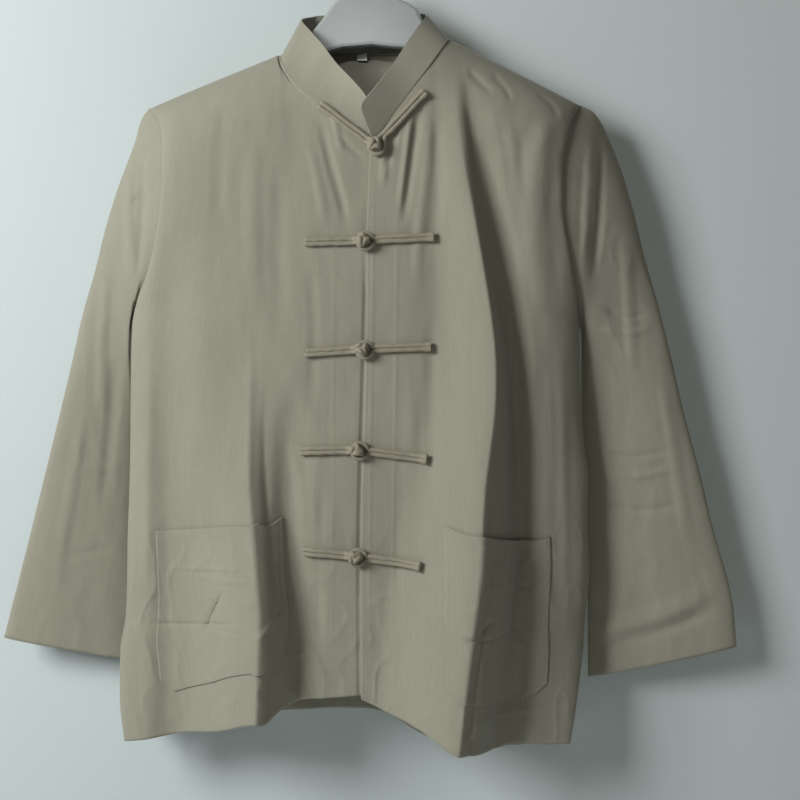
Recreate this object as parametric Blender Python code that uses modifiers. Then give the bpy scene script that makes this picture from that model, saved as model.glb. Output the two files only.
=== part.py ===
"""Chinese-style jacket with a stand collar and knotted frogs, hung on a moulded hanger.

X runs across the jacket, Y from front to back, and Z is up; the origin is the
inner top of the hanger's hook.  The front faces -Y.  "Left" is -X all through.
"""
import math

import bmesh
import bpy
import numpy as np

for old in list(bpy.data.objects):
    bpy.data.objects.remove(old, do_unlink=True)

# Driving sizes, in metres
WALL = 0.0015          # cloth wall of the panels and sleeves
COLLAR_WALL = 0.002    # two layers and their interlining
GAP = 0.0003           # space left at each seam
LAP = 0.012            # how far the left front runs on below the right front
LAP_RISE = 0.0026      # how far the right front lies in front of the left one
SHOULDER_ROLL = 0.08   # length down from the shoulder seam in which the cloth rounds over
CORD_R = 0.0022        # radius of the frogs' cord
BALL_R = 0.0066        # radius of a knotted ball
RING_R = 0.0058        # radius of the loop below a ball
FROG_LIFT = 0.0009     # space between a frog's cord and the front
UNDERARM = 0.345       # height share at which the armhole ends and the side seam begins
SLEEVE_CLEAR = 0.003   # space between the sleeve and the body beside it
LABEL = (0.0115, 0.0006, 0.0080)   # width, thickness and height of the tab below the back neck
LABEL_PLACE = (-0.0063, -0.1360)   # x, z of its middle
LABEL_DEPTH = 0.0042   # from the outer face of the back to the middle of the tab
NECK_ROWS = 4          # first rows of a front, which lie closer together than its wall is thick

# Outer edge of each front and of the back: shoulder tip, armhole, underarm, side seam, hem.
# columns: z, x, front y, back y
LEFT_EDGE = [
    (-0.2005, -0.2430, 0.000, 0.000), (-0.2169, -0.2314, -0.014, 0.011),
    (-0.2459, -0.2248, -0.026, 0.021), (-0.2789, -0.2237, -0.032, 0.026),
    (-0.3252, -0.2266, -0.034, 0.028), (-0.3565, -0.2326, -0.031, 0.026),
    (-0.3854, -0.2406, -0.024, 0.021), (-0.4131, -0.2529, -0.012, 0.012),
    (-0.4422, -0.2614, 0.000, 0.000), (-0.4597, -0.2622, 0.000, 0.000),
    (-0.5264, -0.2633, 0.000, 0.000), (-0.6154, -0.2646, 0.000, 0.000),
    (-0.6754, -0.2667, 0.000, 0.000), (-0.7644, -0.2689, 0.000, 0.000),
    (-0.8045, -0.2744, -0.004, 0.001), (-0.8596, -0.2729, -0.015, 0.003),
    (-0.9011, -0.2665, -0.024, 0.005),
]
RIGHT_EDGE = [
    (-0.1971, 0.2386, 0.000, 0.000), (-0.2136, 0.2289, -0.014, 0.011),
    (-0.2404, 0.2207, -0.026, 0.021), (-0.2723, 0.2155, -0.032, 0.026),
    (-0.3142, 0.2153, -0.034, 0.028), (-0.3619, 0.2224, -0.030, 0.026),
    (-0.3939, 0.2292, -0.020, 0.019), (-0.4180, 0.2334, -0.010, 0.010),
    (-0.4405, 0.2359, 0.000, 0.000), (-0.5142, 0.2383, 0.000, 0.000),
    (-0.5787, 0.2428, 0.000, 0.000), (-0.6120, 0.2472, 0.000, 0.000),
    (-0.6599, 0.2461, 0.000, 0.000), (-0.7144, 0.2483, 0.000, 0.000),
    (-0.7722, 0.2433, 0.000, 0.000), (-0.8100, 0.2405, -0.005, 0.001),
    (-0.8389, 0.2357, -0.013, 0.003), (-0.8763, 0.2292, -0.023, 0.004),
    (-0.9027, 0.2240, -0.028, 0.005),
]

# Neckline of each front, from the shoulder seam to the front edge.  columns: x, z
LEFT_NECK = [(-0.0985, -0.1422), (-0.0952, -0.1576), (-0.0874, -0.1742), (-0.0745, -0.1898),
             (-0.0498, -0.2063), (-0.0225, -0.2236), (0.0068, -0.2462), (0.0190, -0.2475)]
RIGHT_NECK = [(0.0941, -0.1254), (0.0858, -0.1407), (0.0721, -0.1612), (0.0533, -0.1871),
              (0.0338, -0.2139), (0.0154, -0.2387), (0.0068, -0.2462)]
BACK_NECK = [(-0.0985, -0.1422), (-0.0900, -0.1401), (-0.0767, -0.1368), (-0.0550, -0.1335),
             (-0.0030, -0.1312), (0.0500, -0.1300), (0.0711, -0.1288), (0.0860, -0.1270), (0.0941, -0.1254)]

# Front opening.  columns: z, x
OPENING = [(-0.2462, 0.0068), (-0.2570, 0.0047), (-0.3540, 0.0014), (-0.4725, 0.0004),
           (-0.5805, -0.0030), (-0.7000, -0.0053), (-0.8500, -0.0050)]

# Hems.  columns: x, z
LEFT_HEM = [(-0.2665, -0.9011), (-0.2137, -0.8932), (-0.1595, -0.8818), (-0.1155, -0.8694),
            (-0.1071, -0.8702), (-0.0940, -0.8620), (-0.0715, -0.8541), (-0.0348, -0.8505),
            (-0.0050, -0.8485), (0.0070, -0.8485)]
RIGHT_HEM = [(-0.0050, -0.8516), (0.0187, -0.8626), (0.0623, -0.8775), (0.0970, -0.8959),
             (0.1155, -0.8985), (0.1454, -0.9025), (0.1609, -0.9020), (0.2240, -0.9027)]
BACK_HEM = [(-0.2665, -0.9011), (-0.1800, -0.8900), (-0.0773, -0.8785), (-0.0064, -0.8796),
            (0.0164, -0.8831), (0.0829, -0.9180), (0.1500, -0.9190), (0.2240, -0.9060)]

# Depth of the front and back ahead of and behind the side seams.  columns: z, front, back
DEPTH = [(-0.10, 0.050, 0.034), (-0.25, 0.054, 0.034), (-0.35, 0.053, 0.036),
         (-0.47, 0.052, 0.037), (-0.58, 0.048, 0.037), (-0.70, 0.044, 0.036),
         (-0.85, 0.041, 0.035), (-0.93, 0.041, 0.035)]

# Largest folds of the front; a rise is towards the viewer.
# columns: z, x, rise, width on the left, width on the right
FRONT_FOLDS = {
    "ridge from the right neck point to the hem": [
        (-0.170, 0.0955, 0.000, 0.020, 0.015), (-0.234, 0.1006, 0.005, 0.030, 0.018),
        (-0.283, 0.1076, 0.010, 0.040, 0.022), (-0.340, 0.1180, 0.015, 0.050, 0.024),
        (-0.439, 0.1347, 0.022, 0.065, 0.026), (-0.491, 0.1387, 0.026, 0.075, 0.028),
        (-0.535, 0.1374, 0.031, 0.080, 0.030), (-0.622, 0.1263, 0.042, 0.088, 0.040),
        (-0.712, 0.1204, 0.054, 0.095, 0.048), (-0.779, 0.1118, 0.060, 0.098, 0.055),
        (-0.895, 0.0981, 0.068, 0.098, 0.062)],
    "trough to the right of that ridge": [
        (-0.170, 0.110, 0.000, 0.014, 0.020), (-0.283, 0.130, -0.006, 0.018, 0.024),
        (-0.384, 0.145, -0.009, 0.020, 0.026), (-0.491, 0.160, -0.012, 0.022, 0.028),
        (-0.580, 0.168, -0.014, 0.026, 0.030), (-0.670, 0.172, -0.010, 0.030, 0.030),
        (-0.895, 0.165, -0.004, 0.034, 0.030)],
    "ridge below the left chest": [
        (-0.480, -0.124, 0.000, 0.040, 0.030), (-0.560, -0.125, 0.006, 0.055, 0.034),
        (-0.612, -0.125, 0.012, 0.065, 0.034), (-0.669, -0.120, 0.022, 0.072, 0.034),
        (-0.725, -0.115, 0.032, 0.078, 0.036), (-0.765, -0.112, 0.038, 0.082, 0.036),
        (-0.870, -0.1145, 0.047, 0.090, 0.040)],
    "valley to the right of it": [
        (-0.500, -0.080, 0.000, 0.020, 0.030), (-0.620, -0.082, -0.006, 0.022, 0.030),
        (-0.765, -0.074, -0.008, 0.026, 0.032), (-0.870, -0.074, -0.006, 0.026, 0.032)],
    "valley beside the left side seam": [
        (-0.330, -0.212, 0.000, 0.030, 0.040), (-0.480, -0.214, -0.005, 0.030, 0.045),
        (-0.700, -0.214, -0.007, 0.030, 0.045), (-0.900, -0.214, -0.009, 0.030, 0.050)],
    "pull below the right shoulder": [
        (-0.215, 0.200, 0.000, 0.020, 0.020), (-0.260, 0.188, 0.004, 0.022, 0.024),
        (-0.340, 0.182, 0.005, 0.026, 0.028), (-0.460, 0.196, 0.000, 0.026, 0.024)],
}
# Folds of the back; a rise is towards the wall
BACK_FOLDS = {
    "left drape": [(-0.300, -0.150, 0.000, 0.050, 0.050), (-0.550, -0.160, 0.007, 0.060, 0.055),
                   (-0.900, -0.170, 0.012, 0.070, 0.060)],
    "left valley": [(-0.350, -0.075, 0.000, 0.040, 0.040), (-0.600, -0.078, -0.007, 0.045, 0.045),
                    (-0.900, -0.082, -0.012, 0.050, 0.050)],
    "right drape": [(-0.280, 0.110, 0.000, 0.050, 0.050), (-0.550, 0.100, 0.008, 0.055, 0.060),
                    (-0.900, 0.090, 0.013, 0.060, 0.065)],
    "right valley": [(-0.400, 0.175, 0.000, 0.040, 0.035), (-0.900, 0.180, -0.009, 0.045, 0.040)],
}

# Where the panels' columns and rows lie, as shares of the width and of the height.
# The pocket edges lie on a column or a row.
LEFT_U = [0, 0.045, 0.09, 0.15, 0.21, 0.27, 0.315, 0.359, 0.40, 0.448, 0.50, 0.56, 0.62, 0.68,
          0.74, 0.80, 0.8556, 0.90, 0.94, 0.97, 0.988, 0.997, 1]
RIGHT_U = [0, 0.05, 0.10, 0.16, 0.22, 0.285, 0.348, 0.3766, 0.42, 0.46, 0.50, 0.54, 0.58, 0.62,
           0.67, 0.72, 0.77, 0.8225, 0.87, 0.91, 0.95, 0.975, 0.988, 0.997, 1]
ROWS = [0, 0.002, 0.008, 0.024, 0.05, 0.085, 0.125, 0.17, 0.22, 0.27, 0.315, UNDERARM, 0.39, 0.43,
        0.475, 0.52, 0.57, 0.61, 0.65, 0.69, 0.735, 0.78, 0.825, 0.87, 0.90, 0.92, 0.955, 1]
POCKET_COLUMNS = {"left": (0.359, 0.8556), "right": (0.348, 0.8225)}
POCKET_ROWS = (0.69, 0.92)

# Sleeves.  columns: x, y, z of the outer fold, then of the inner fold
LEFT_SLEEVE_OUTER = [
    (-0.2433, 0.000, -0.2005), (-0.2492, 0.003, -0.2065), (-0.2614, 0.007, -0.2392),
    (-0.2788, 0.010, -0.2839), (-0.2934, 0.010, -0.3313), (-0.3070, 0.010, -0.3854),
    (-0.3194, 0.010, -0.4283), (-0.3306, 0.010, -0.4779), (-0.3476, 0.010, -0.5490),
    (-0.3780, 0.010, -0.6730), (-0.4085, 0.010, -0.7937)]
LEFT_SLEEVE_INNER = [
    (-0.2617, 0.000, -0.4422), (-0.2665, 0.003, -0.4530), (-0.2665, 0.013, -0.4900),
    (-0.2625, 0.024, -0.5300), (-0.2550, 0.037, -0.6182), (-0.2503, 0.039, -0.7103),
    (-0.2446, 0.039, -0.8275)]
RIGHT_SLEEVE_OUTER = [
    (0.2389, 0.000, -0.1971), (0.2528, 0.004, -0.2030), (0.2682, 0.009, -0.2242),
    (0.2795, 0.010, -0.2501), (0.2986, 0.010, -0.3099), (0.3122, 0.010, -0.3663),
    (0.3280, 0.010, -0.4215), (0.3404, 0.010, -0.4711), (0.3584, 0.010, -0.5490),
    (0.3731, 0.010, -0.6031), (0.3888, 0.010, -0.6696), (0.4103, 0.010, -0.7497),
    (0.4159, 0.010, -0.8038)]
RIGHT_SLEEVE_INNER = [
    (0.2362, 0.000, -0.4405), (0.2415, 0.003, -0.4520), (0.2430, 0.014, -0.4900),
    (0.2440, 0.021, -0.5300), (0.2465, 0.025, -0.5799), (0.2490, 0.027, -0.6404),
    (0.2515, 0.029, -0.7193), (0.2525, 0.029, -0.7787), (0.2525, 0.029, -0.8415)]
SLEEVE_HALF_DEPTH = [(0.0, 0.030), (0.15, 0.027), (0.35, 0.019), (0.6, 0.014), (1.0, 0.013)]
SLEEVE_ROWS = [0, 0.02, 0.06, 0.11, 0.17, 0.24, 0.31, 0.39, 0.47, 0.55, 0.63, 0.71, 0.79, 0.87,
               0.94, 1]

# Top edge of the collar.  columns: part, x of the seam below, x, y, z of the top edge
COLLAR_TOP = [
    ("left front", 0.0068, 0.0059, -0.0590, -0.2048), ("left front", -0.0225, -0.0140, -0.0530, -0.1810),
    ("left front", -0.0498, -0.0318, -0.0450, -0.1608), ("left front", -0.0745, -0.0500, -0.0340, -0.1350),
    ("left front", -0.0874, -0.0630, -0.0200, -0.1175), ("back", -0.0985, -0.0757, -0.0020, -0.1000),
    ("back", -0.0767, -0.0600, 0.0290, -0.0885), ("back", -0.0030, -0.0033, 0.0390, -0.0845),
    ("back", 0.0711, 0.0540, 0.0290, -0.0850), ("back", 0.0941, 0.0690, -0.0020, -0.0945),
    ("right front", 0.0858, 0.0620, -0.0180, -0.1080), ("right front", 0.0721, 0.0480, -0.0350, -0.1330),
    ("right front", 0.0533, 0.0290, -0.0500, -0.1660), ("right front", 0.0338, 0.0130, -0.0600, -0.1930),
    ("right front", 0.0120, -0.0005, -0.0650, -0.2170)]

# Frogs.  columns: x, z of the left strip's end, of the ball, of the right strip's end
FROGS = [(-0.0489, -0.2085, 0.0100, -0.2530, 0.0640, -0.1950),
         (-0.0653, -0.3563, -0.0027, -0.3549, 0.0736, -0.3509),
         (-0.0631, -0.4758, -0.0037, -0.4717, 0.0704, -0.4693),
         (-0.0690, -0.5816, -0.0093, -0.5802, 0.0662, -0.5901),
         (-0.0670, -0.6911, -0.0115, -0.6957, 0.0586, -0.7048)]

# Hanger outline, round from the top of the dome.  columns: x, z
HANGER = [(0.0034, -0.0616), (0.0210, -0.0668), (0.0370, -0.0784), (0.0471, -0.0829),
          (0.0560, -0.0890), (0.0628, -0.1030), (0.0740, -0.1200), (0.0860, -0.1262),
          (0.0980, -0.1303), (0.1500, -0.1565), (0.2000, -0.1817), (0.2150, -0.1912), (0.2190, -0.2000),
          (0.2140, -0.2110), (0.2000, -0.2080), (0.1500, -0.1850), (0.0941, -0.1580),
          (0.0620, -0.1400), (0.0415, -0.1333), (0.0269, -0.1322), (0.0068, -0.1299),
          (-0.0078, -0.1310), (-0.0268, -0.1327), (-0.0436, -0.1378), (-0.0985, -0.1720),
          (-0.1500, -0.1920), (-0.2000, -0.2140), (-0.2150, -0.2170), (-0.2215, -0.2110),
          (-0.2180, -0.1960), (-0.2000, -0.1857), (-0.1500, -0.1655), (-0.1030, -0.1465),
          (-0.0900, -0.1432), (-0.0760, -0.1360), (-0.0616, -0.1154), (-0.0504, -0.1019), (-0.0436, -0.0918),
          (-0.0369, -0.0829), (-0.0291, -0.0784), (-0.0150, -0.0668)]
HANGER_HALF = 0.0065   # half of its thickness
HANGER_ROUND = 0.0035  # rounding of its edges
HOOK_R = 0.0019        # radius of the hook's wire
HOOK_BEND = 0.020      # radius of the hook's bend

parts = bpy.data.collections.new("chinese_style_jacket")
bpy.context.scene.collection.children.link(parts)


def spline(rows, t, key=0, value=1):
    """Smooth value of one column of a table at t, read along its key column."""
    table = sorted(rows, key=lambda row: row[key])
    xs = np.array([row[key] for row in table], float)
    ys = np.array([row[value] for row in table], float)
    slopes = np.gradient(ys, xs)
    steps = np.diff(ys) / np.diff(xs)
    for i in range(1, len(xs) - 1):
        if steps[i - 1] * steps[i] <= 0:
            slopes[i] = 0.0
        else:
            limit = 2.5 * min(abs(steps[i - 1]), abs(steps[i]))
            slopes[i] = max(-limit, min(limit, slopes[i]))
    t = min(max(t, xs[0]), xs[-1])
    i = int(min(max(np.searchsorted(xs, t) - 1, 0), len(xs) - 2))
    h = xs[i + 1] - xs[i]
    q = (t - xs[i]) / h
    return float(ys[i] * (1 + 2 * q) * (1 - q) ** 2 + slopes[i] * h * q * (1 - q) ** 2
                 + ys[i + 1] * q * q * (3 - 2 * q) + slopes[i + 1] * h * q * q * (q - 1))


def smooth(a, b, t):
    q = min(max((t - a) / (b - a), 0.0), 1.0)
    return q * q * (3 - 2 * q)


def fold_height(folds, x, z):
    total = 0.0
    for rows in folds.values():
        if rows[-1][0] - 0.03 < z < rows[0][0]:
            middle, rise, on_left, on_right = (spline(rows, z, 0, k) for k in (1, 2, 3, 4))
            width = on_left if x < middle else on_right
            q = abs(x - middle) / width
            if q < 1:
                total += rise * math.cos(0.5 * math.pi * q) ** 2
    return total


def shoulder_z(x):
    """Height of the shoulder seam at x, also where it would run across the neck."""
    left = -0.1422 + (x + 0.0985) * (0.2005 - 0.1422) / (0.2430 - 0.0985)
    right = -0.1254 - (x - 0.0941) * (0.1971 - 0.1254) / (0.2386 - 0.0941)
    return min(left, right)


def roll(x, z):
    """0 at the shoulder seam, 1 where the cloth hangs free below it."""
    t = min(max((shoulder_z(x) - z) / SHOULDER_ROLL, 0.0), 1.0)
    return (1 - (1 - t) ** 2.2) ** (1 / 2.2)


def front_y(x, z, s, edge_y):
    """Depth of the front's outer face; s is 0 at the opening and 1 at the outer edge."""
    free = spline(DEPTH, z, 0, 1) * roll(x, z)
    curve = (1 - min(s, 1.0) ** 3) ** (1 / 3)
    depth = min(edge_y, free) + max(free - edge_y, 0.0) * curve
    fade = smooth(0, 0.12, 1 - s) * smooth(0.0, 0.05, shoulder_z(x) - z)
    return -(depth + fold_height(FRONT_FOLDS, x, z) * fade + 0.5 * GAP)


def back_y(x, z, s, edge_y):
    free = spline(DEPTH, z, 0, 2) * roll(x, z)
    curve = (1 - min(s, 1.0) ** 2.4) ** (1 / 2.4)
    depth = min(edge_y, free) + max(free - edge_y, 0.0) * curve
    fade = smooth(0, 0.12, 1 - s) * smooth(0.0, 0.05, shoulder_z(x) - z)
    return depth + fold_height(BACK_FOLDS, x, z) * fade + 0.5 * GAP


def front_point(side, u, v):
    """Point of a front's outer face, u across from the opening and v down from the top."""
    left = side == "left"
    edge, neck, hem = (LEFT_EDGE, LEFT_NECK, LEFT_HEM) if left else (RIGHT_EDGE, RIGHT_NECK, RIGHT_HEM)
    lap = LAP if left else 0.0
    top_in, top_out = (0.0068 + lap, edge[0][1])
    low_in, low_out = (-0.0050 + lap, edge[-1][1])
    z_in = OPENING[0][0] + v * (hem[-1 if left else 0][1] - OPENING[0][0])
    z_out = edge[0][0] + v * (edge[-1][0] - edge[0][0])
    x_in = spline(OPENING, z_in) + lap
    x_out = spline(edge, z_out)
    x_top = top_in + u * (top_out - top_in)
    x_low = low_in + u * (low_out - low_in)
    beyond = x_top < neck[0][0] if left else x_top > neck[0][0]
    z_top = shoulder_z(x_top) if beyond else spline(neck, x_top)
    z_low = spline(hem, x_low)
    corners_x = (1 - u) * ((1 - v) * top_in + v * low_in) + u * ((1 - v) * top_out + v * low_out)
    z00, z10 = spline(neck, top_in), edge[0][0]
    z01, z11 = spline(hem, low_in), spline(hem, low_out)
    corners_z = (1 - u) * ((1 - v) * z00 + v * z01) + u * ((1 - v) * z10 + v * z11)
    x = (1 - v) * x_top + v * x_low + (1 - u) * x_in + u * x_out - corners_x
    z_side = (1 - u) * (z00 + v * (z01 - z00)) + u * z_out
    z = (1 - v) * z_top + v * z_low + z_side - corners_z
    y = front_y(x, z, u, -spline(edge, z_out, 0, 2))
    if not left:
        y -= LAP_RISE * (1 - smooth(0.03, 0.09, x))
    return x, y, z


def back_point(u, v):
    """Point of the back's outer face, u from -1 at the left to 1 at the right."""
    q = (u + 1) / 2
    z_left = LEFT_EDGE[0][0] + v * (LEFT_EDGE[-1][0] - LEFT_EDGE[0][0])
    z_right = RIGHT_EDGE[0][0] + v * (RIGHT_EDGE[-1][0] - RIGHT_EDGE[0][0])
    x = (1 - q) * spline(LEFT_EDGE, z_left) + q * spline(RIGHT_EDGE, z_right)
    x_top = (1 - q) * LEFT_EDGE[0][1] + q * RIGHT_EDGE[0][1]
    x_low = (1 - q) * LEFT_EDGE[-1][1] + q * RIGHT_EDGE[-1][1]
    inside = LEFT_NECK[0][0] < x_top < RIGHT_NECK[0][0]
    z_top = spline(BACK_NECK, x_top) if inside else shoulder_z(x_top)
    z_low = spline(BACK_HEM, x_low)
    corners = (1 - q) * ((1 - v) * LEFT_EDGE[0][0] + v * BACK_HEM[0][1]) \
        + q * ((1 - v) * RIGHT_EDGE[0][0] + v * BACK_HEM[-1][1])
    z_right = RIGHT_EDGE[0][0] + v * (BACK_HEM[-1][1] - RIGHT_EDGE[0][0])
    z = (1 - v) * z_top + v * z_low + (1 - q) * z_left + q * z_right - corners
    edge = LEFT_EDGE if u < 0 else RIGHT_EDGE
    return x, back_y(x, z, abs(u), spline(edge, z_left if u < 0 else z_right, 0, 3)), z


def material(name, colour, roughness=0.9, metallic=0.0):
    made = bpy.data.materials.new(name)
    made.use_nodes = True
    shader = made.node_tree.nodes["Principled BSDF"]
    shader.inputs["Base Color"].default_value = (*colour, 1)
    shader.inputs["Roughness"].default_value = roughness
    shader.inputs["Metallic"].default_value = metallic
    return made


def finish(obj, colour, roughness=0.9, metallic=0.0):
    """Makes one object's modifiers real, turns its faces outwards and files it."""
    for owner in list(obj.users_collection):
        owner.objects.unlink(obj)
    parts.objects.link(obj)
    bpy.context.view_layer.update()
    real = bpy.data.meshes.new_from_object(obj.evaluated_get(bpy.context.evaluated_depsgraph_get()))
    name = obj.name
    bpy.data.objects.remove(obj, do_unlink=True)
    real.name = name
    made = bpy.data.objects.new(name, real)
    parts.objects.link(made)
    work = bmesh.new()
    work.from_mesh(real)
    bmesh.ops.remove_doubles(work, verts=work.verts, dist=1e-6)
    bmesh.ops.recalc_face_normals(work, faces=work.faces)
    work.to_mesh(real)
    work.free()
    real.materials.clear()
    real.materials.append(material(name, colour, roughness, metallic))
    return made


def short_way(grid, closed=False):
    """For each square of a grid, whether the diagonal from its first corner is the shorter one."""
    points = np.array(grid)
    here = points if closed else points[:, :-1]
    beside = np.roll(points, -1, axis=1) if closed else points[:, 1:]
    first = np.linalg.norm(beside[1:] - here[:-1], axis=2)
    return first <= np.linalg.norm(beside[:-1] - here[1:], axis=2)


def halves(a, b, c, d, first):
    return [(a, b, c), (a, c, d)] if first else [(a, b, d), (b, c, d)]


def shell(name, grid, wall, hold, turn=1, closed=False, ways=None, steady=(0, slice(0, 0))):
    """Closed cloth wall lofted below a grid of outer points; turn is -1 for rows that run the other way.

    hold(i, j, outer, inner) returns the inner point, so that a seam's rim stays square to the seam.
    Both skins are split along the same diagonals, so the wall keeps its thickness on a twisted square.
    steady names the first rows, and their columns, that share one direction of thickness: they lie
    closer together than the wall is thick."""
    outer = np.array(grid)
    ways = short_way(outer, closed) if ways is None else ways
    rows, columns = outer.shape[:2]
    right = np.roll(outer, -1, axis=1) if closed else outer[:, 1:]
    here = outer if closed else outer[:, :-1]
    face = np.cross(right[1:] - here[:-1], right[:-1] - here[1:])
    face /= np.maximum(np.linalg.norm(face, axis=2, keepdims=True), 1e-12)
    normal = np.zeros_like(outer)
    wide = face.shape[1]
    for di in (0, 1):
        for dj in (0, 1):
            for j in range(wide):
                normal[di:rows - 1 + di, (j + dj) % columns] += face[:, j]
    normal /= np.maximum(np.linalg.norm(normal, axis=2, keepdims=True), 1e-12)
    normal[:steady[0], steady[1]] = normal[steady[0], steady[1]]
    inner = outer - normal * wall * turn
    for i in range(rows):
        for j in range(columns):
            inner[i, j] = hold(i, j, outer[i, j], inner[i, j])
    points = [tuple(p) for p in outer.reshape(-1, 3)] + [tuple(p) for p in inner.reshape(-1, 3)]
    total = rows * columns
    faces = []
    for i in range(rows - 1):
        for j in range(wide):
            k = (j + 1) % columns
            a, b, c, d = i * columns + j, i * columns + k, (i + 1) * columns + k, (i + 1) * columns + j
            for corners in halves(a, b, c, d, ways[i, j]):
                faces.append(corners)
                faces.append(tuple(total + corner for corner in corners[::-1]))
    for j in range(wide):
        k = (j + 1) % columns
        faces.append((j, total + j, total + k, k))
        low = (rows - 1) * columns
        faces.append((low + k, total + low + k, total + low + j, low + j))
    if not closed:
        for i in range(rows - 1):
            a, b = i * columns, (i + 1) * columns
            faces.append((b, total + b, total + a, a))
            a, b = a + columns - 1, b + columns - 1
            faces.append((a, total + a, total + b, b))
    mesh = bpy.data.meshes.new(name)
    mesh.from_pydata(points, [], faces)
    obj = bpy.data.objects.new(name, mesh)
    bpy.context.scene.collection.objects.link(obj)
    return finish(obj, CLOTH)


def patch(name, grid, wall, colour, ways, left_out):
    """Cloth laid on a panel: the panel's own points, moved out, and thickened away from it.

    left_out names the half of a square that a chamfered corner leaves away, 0 or 1."""
    rows, columns = len(grid), len(grid[0])
    points = [p for row in grid for p in row]
    faces = []
    for i in range(rows - 1):
        for j in range(columns - 1):
            a = i * columns + j
            for half, corners in enumerate(halves(a, a + 1, a + columns + 1, a + columns, ways[i, j])):
                if left_out.get((i, j)) != half:
                    faces.append(corners)
    mesh = bpy.data.meshes.new(name)
    mesh.from_pydata(points, [], faces)
    mesh.update()
    obj = bpy.data.objects.new(name, mesh)
    bpy.context.scene.collection.objects.link(obj)
    solid = obj.modifiers.new("cloth", "SOLIDIFY")
    ahead = sum(face.normal.y * face.area for face in mesh.polygons) < 0
    solid.offset = 1.0 if ahead else -1.0
    solid.thickness = wall
    solid.use_even_offset = True
    return finish(obj, colour)


def cord(name, points, radius, resolution=1):
    data = bpy.data.curves.new(name, "CURVE")
    data.dimensions = "3D"
    data.bevel_depth = radius
    data.bevel_resolution = resolution
    data.use_fill_caps = True
    line = data.splines.new("POLY")
    line.points.add(len(points) - 1)
    for point, co in zip(line.points, points):
        point.co = (*co, 1)
    obj = bpy.data.objects.new(name, data)
    bpy.context.scene.collection.objects.link(obj)
    return obj


CLOTH = (0.30, 0.28, 0.21)
CORD = (0.28, 0.26, 0.19)

# The two fronts, each a single panel from the shoulder seam to the hem
left_grid = [[front_point("left", u, v) for u in LEFT_U] for v in ROWS]
right_grid = [[front_point("right", u, v) for u in RIGHT_U] for v in ROWS]
left_ways, right_ways = short_way(left_grid), short_way(right_grid)
pocket_foot = ROWS.index(POCKET_ROWS[1]) - 1
for ways, side, us in ((left_ways, "left", LEFT_U), (right_ways, "right", RIGHT_U)):
    ways[pocket_foot, us.index(POCKET_COLUMNS[side][0])] = True       # the chamfers of the pocket
    ways[pocket_foot, us.index(POCKET_COLUMNS[side][1]) - 1] = False


def hold_front(side):
    us = LEFT_U if side == "left" else RIGHT_U
    neck_x = LEFT_NECK[0][0] if side == "left" else RIGHT_NECK[0][0]

    def hold(i, j, outer, inner):
        on_shoulder = i == 0 and abs(outer[0]) > abs(neck_x) - 1e-3
        if j == len(us) - 1 or on_shoulder:
            inner[1] = outer[1]
        return inner
    return hold


left_neck = slice(0, LEFT_U.index(0.448) + 1)
right_neck = slice(0, RIGHT_U.index(0.3766) + 1)
shell("front_left", left_grid, WALL, hold_front("left"), -1, False, left_ways, (NECK_ROWS, left_neck))
shell("front_right", right_grid, WALL, hold_front("right"), 1, False, right_ways, (NECK_ROWS, right_neck))

# The back, one panel without a centre seam; its neckline columns match the collar's
neck_left_u = 2 * (LEFT_NECK[0][0] - LEFT_EDGE[0][1]) / (RIGHT_EDGE[0][1] - LEFT_EDGE[0][1]) - 1
neck_right_u = 2 * (RIGHT_NECK[0][0] - LEFT_EDGE[0][1]) / (RIGHT_EDGE[0][1] - LEFT_EDGE[0][1]) - 1
BACK_U = [-1, -0.99, -0.96, -0.91, -0.85, -0.77, -0.68, -0.58, -0.49, neck_left_u, -0.34, -0.26,
          -0.17, -0.08, 0.01, 0.10, 0.19, 0.28, 0.35, neck_right_u, 0.50, 0.59, 0.68, 0.77, 0.85, 0.91,
          0.96, 0.99, 1]
back_grid = [[back_point(u, v) for u in BACK_U] for v in ROWS]


def hold_back(i, j, outer, inner):
    if j in (0, len(BACK_U) - 1) or i == 0 and not -0.0975 < outer[0] < 0.0931:
        inner[1] = outer[1]
    return inner


shell("back", back_grid, WALL, hold_back, turn=-1)


def clear_of_body(side, point, space):
    """Moves a point of the sleeve outwards where it would come into the body."""
    x, y, z = point
    edge = LEFT_EDGE if side == "left" else RIGHT_EDGE
    column, power = (1, 3.0) if y < 0 else (2, 2.4)
    edge_y = abs(spline(edge, z, 0, column + 1))
    free = spline(DEPTH, z, 0, column)
    beyond = (abs(y) - edge_y) / max(free - edge_y, 1e-6)
    if beyond >= 1:
        return point
    share = (1 - max(beyond, 0) ** power) ** (1 / power)
    limit = abs(spline(edge, z)) * share + space
    return np.array((math.copysign(max(abs(x), limit), edge[0][1]), y, z))


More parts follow.
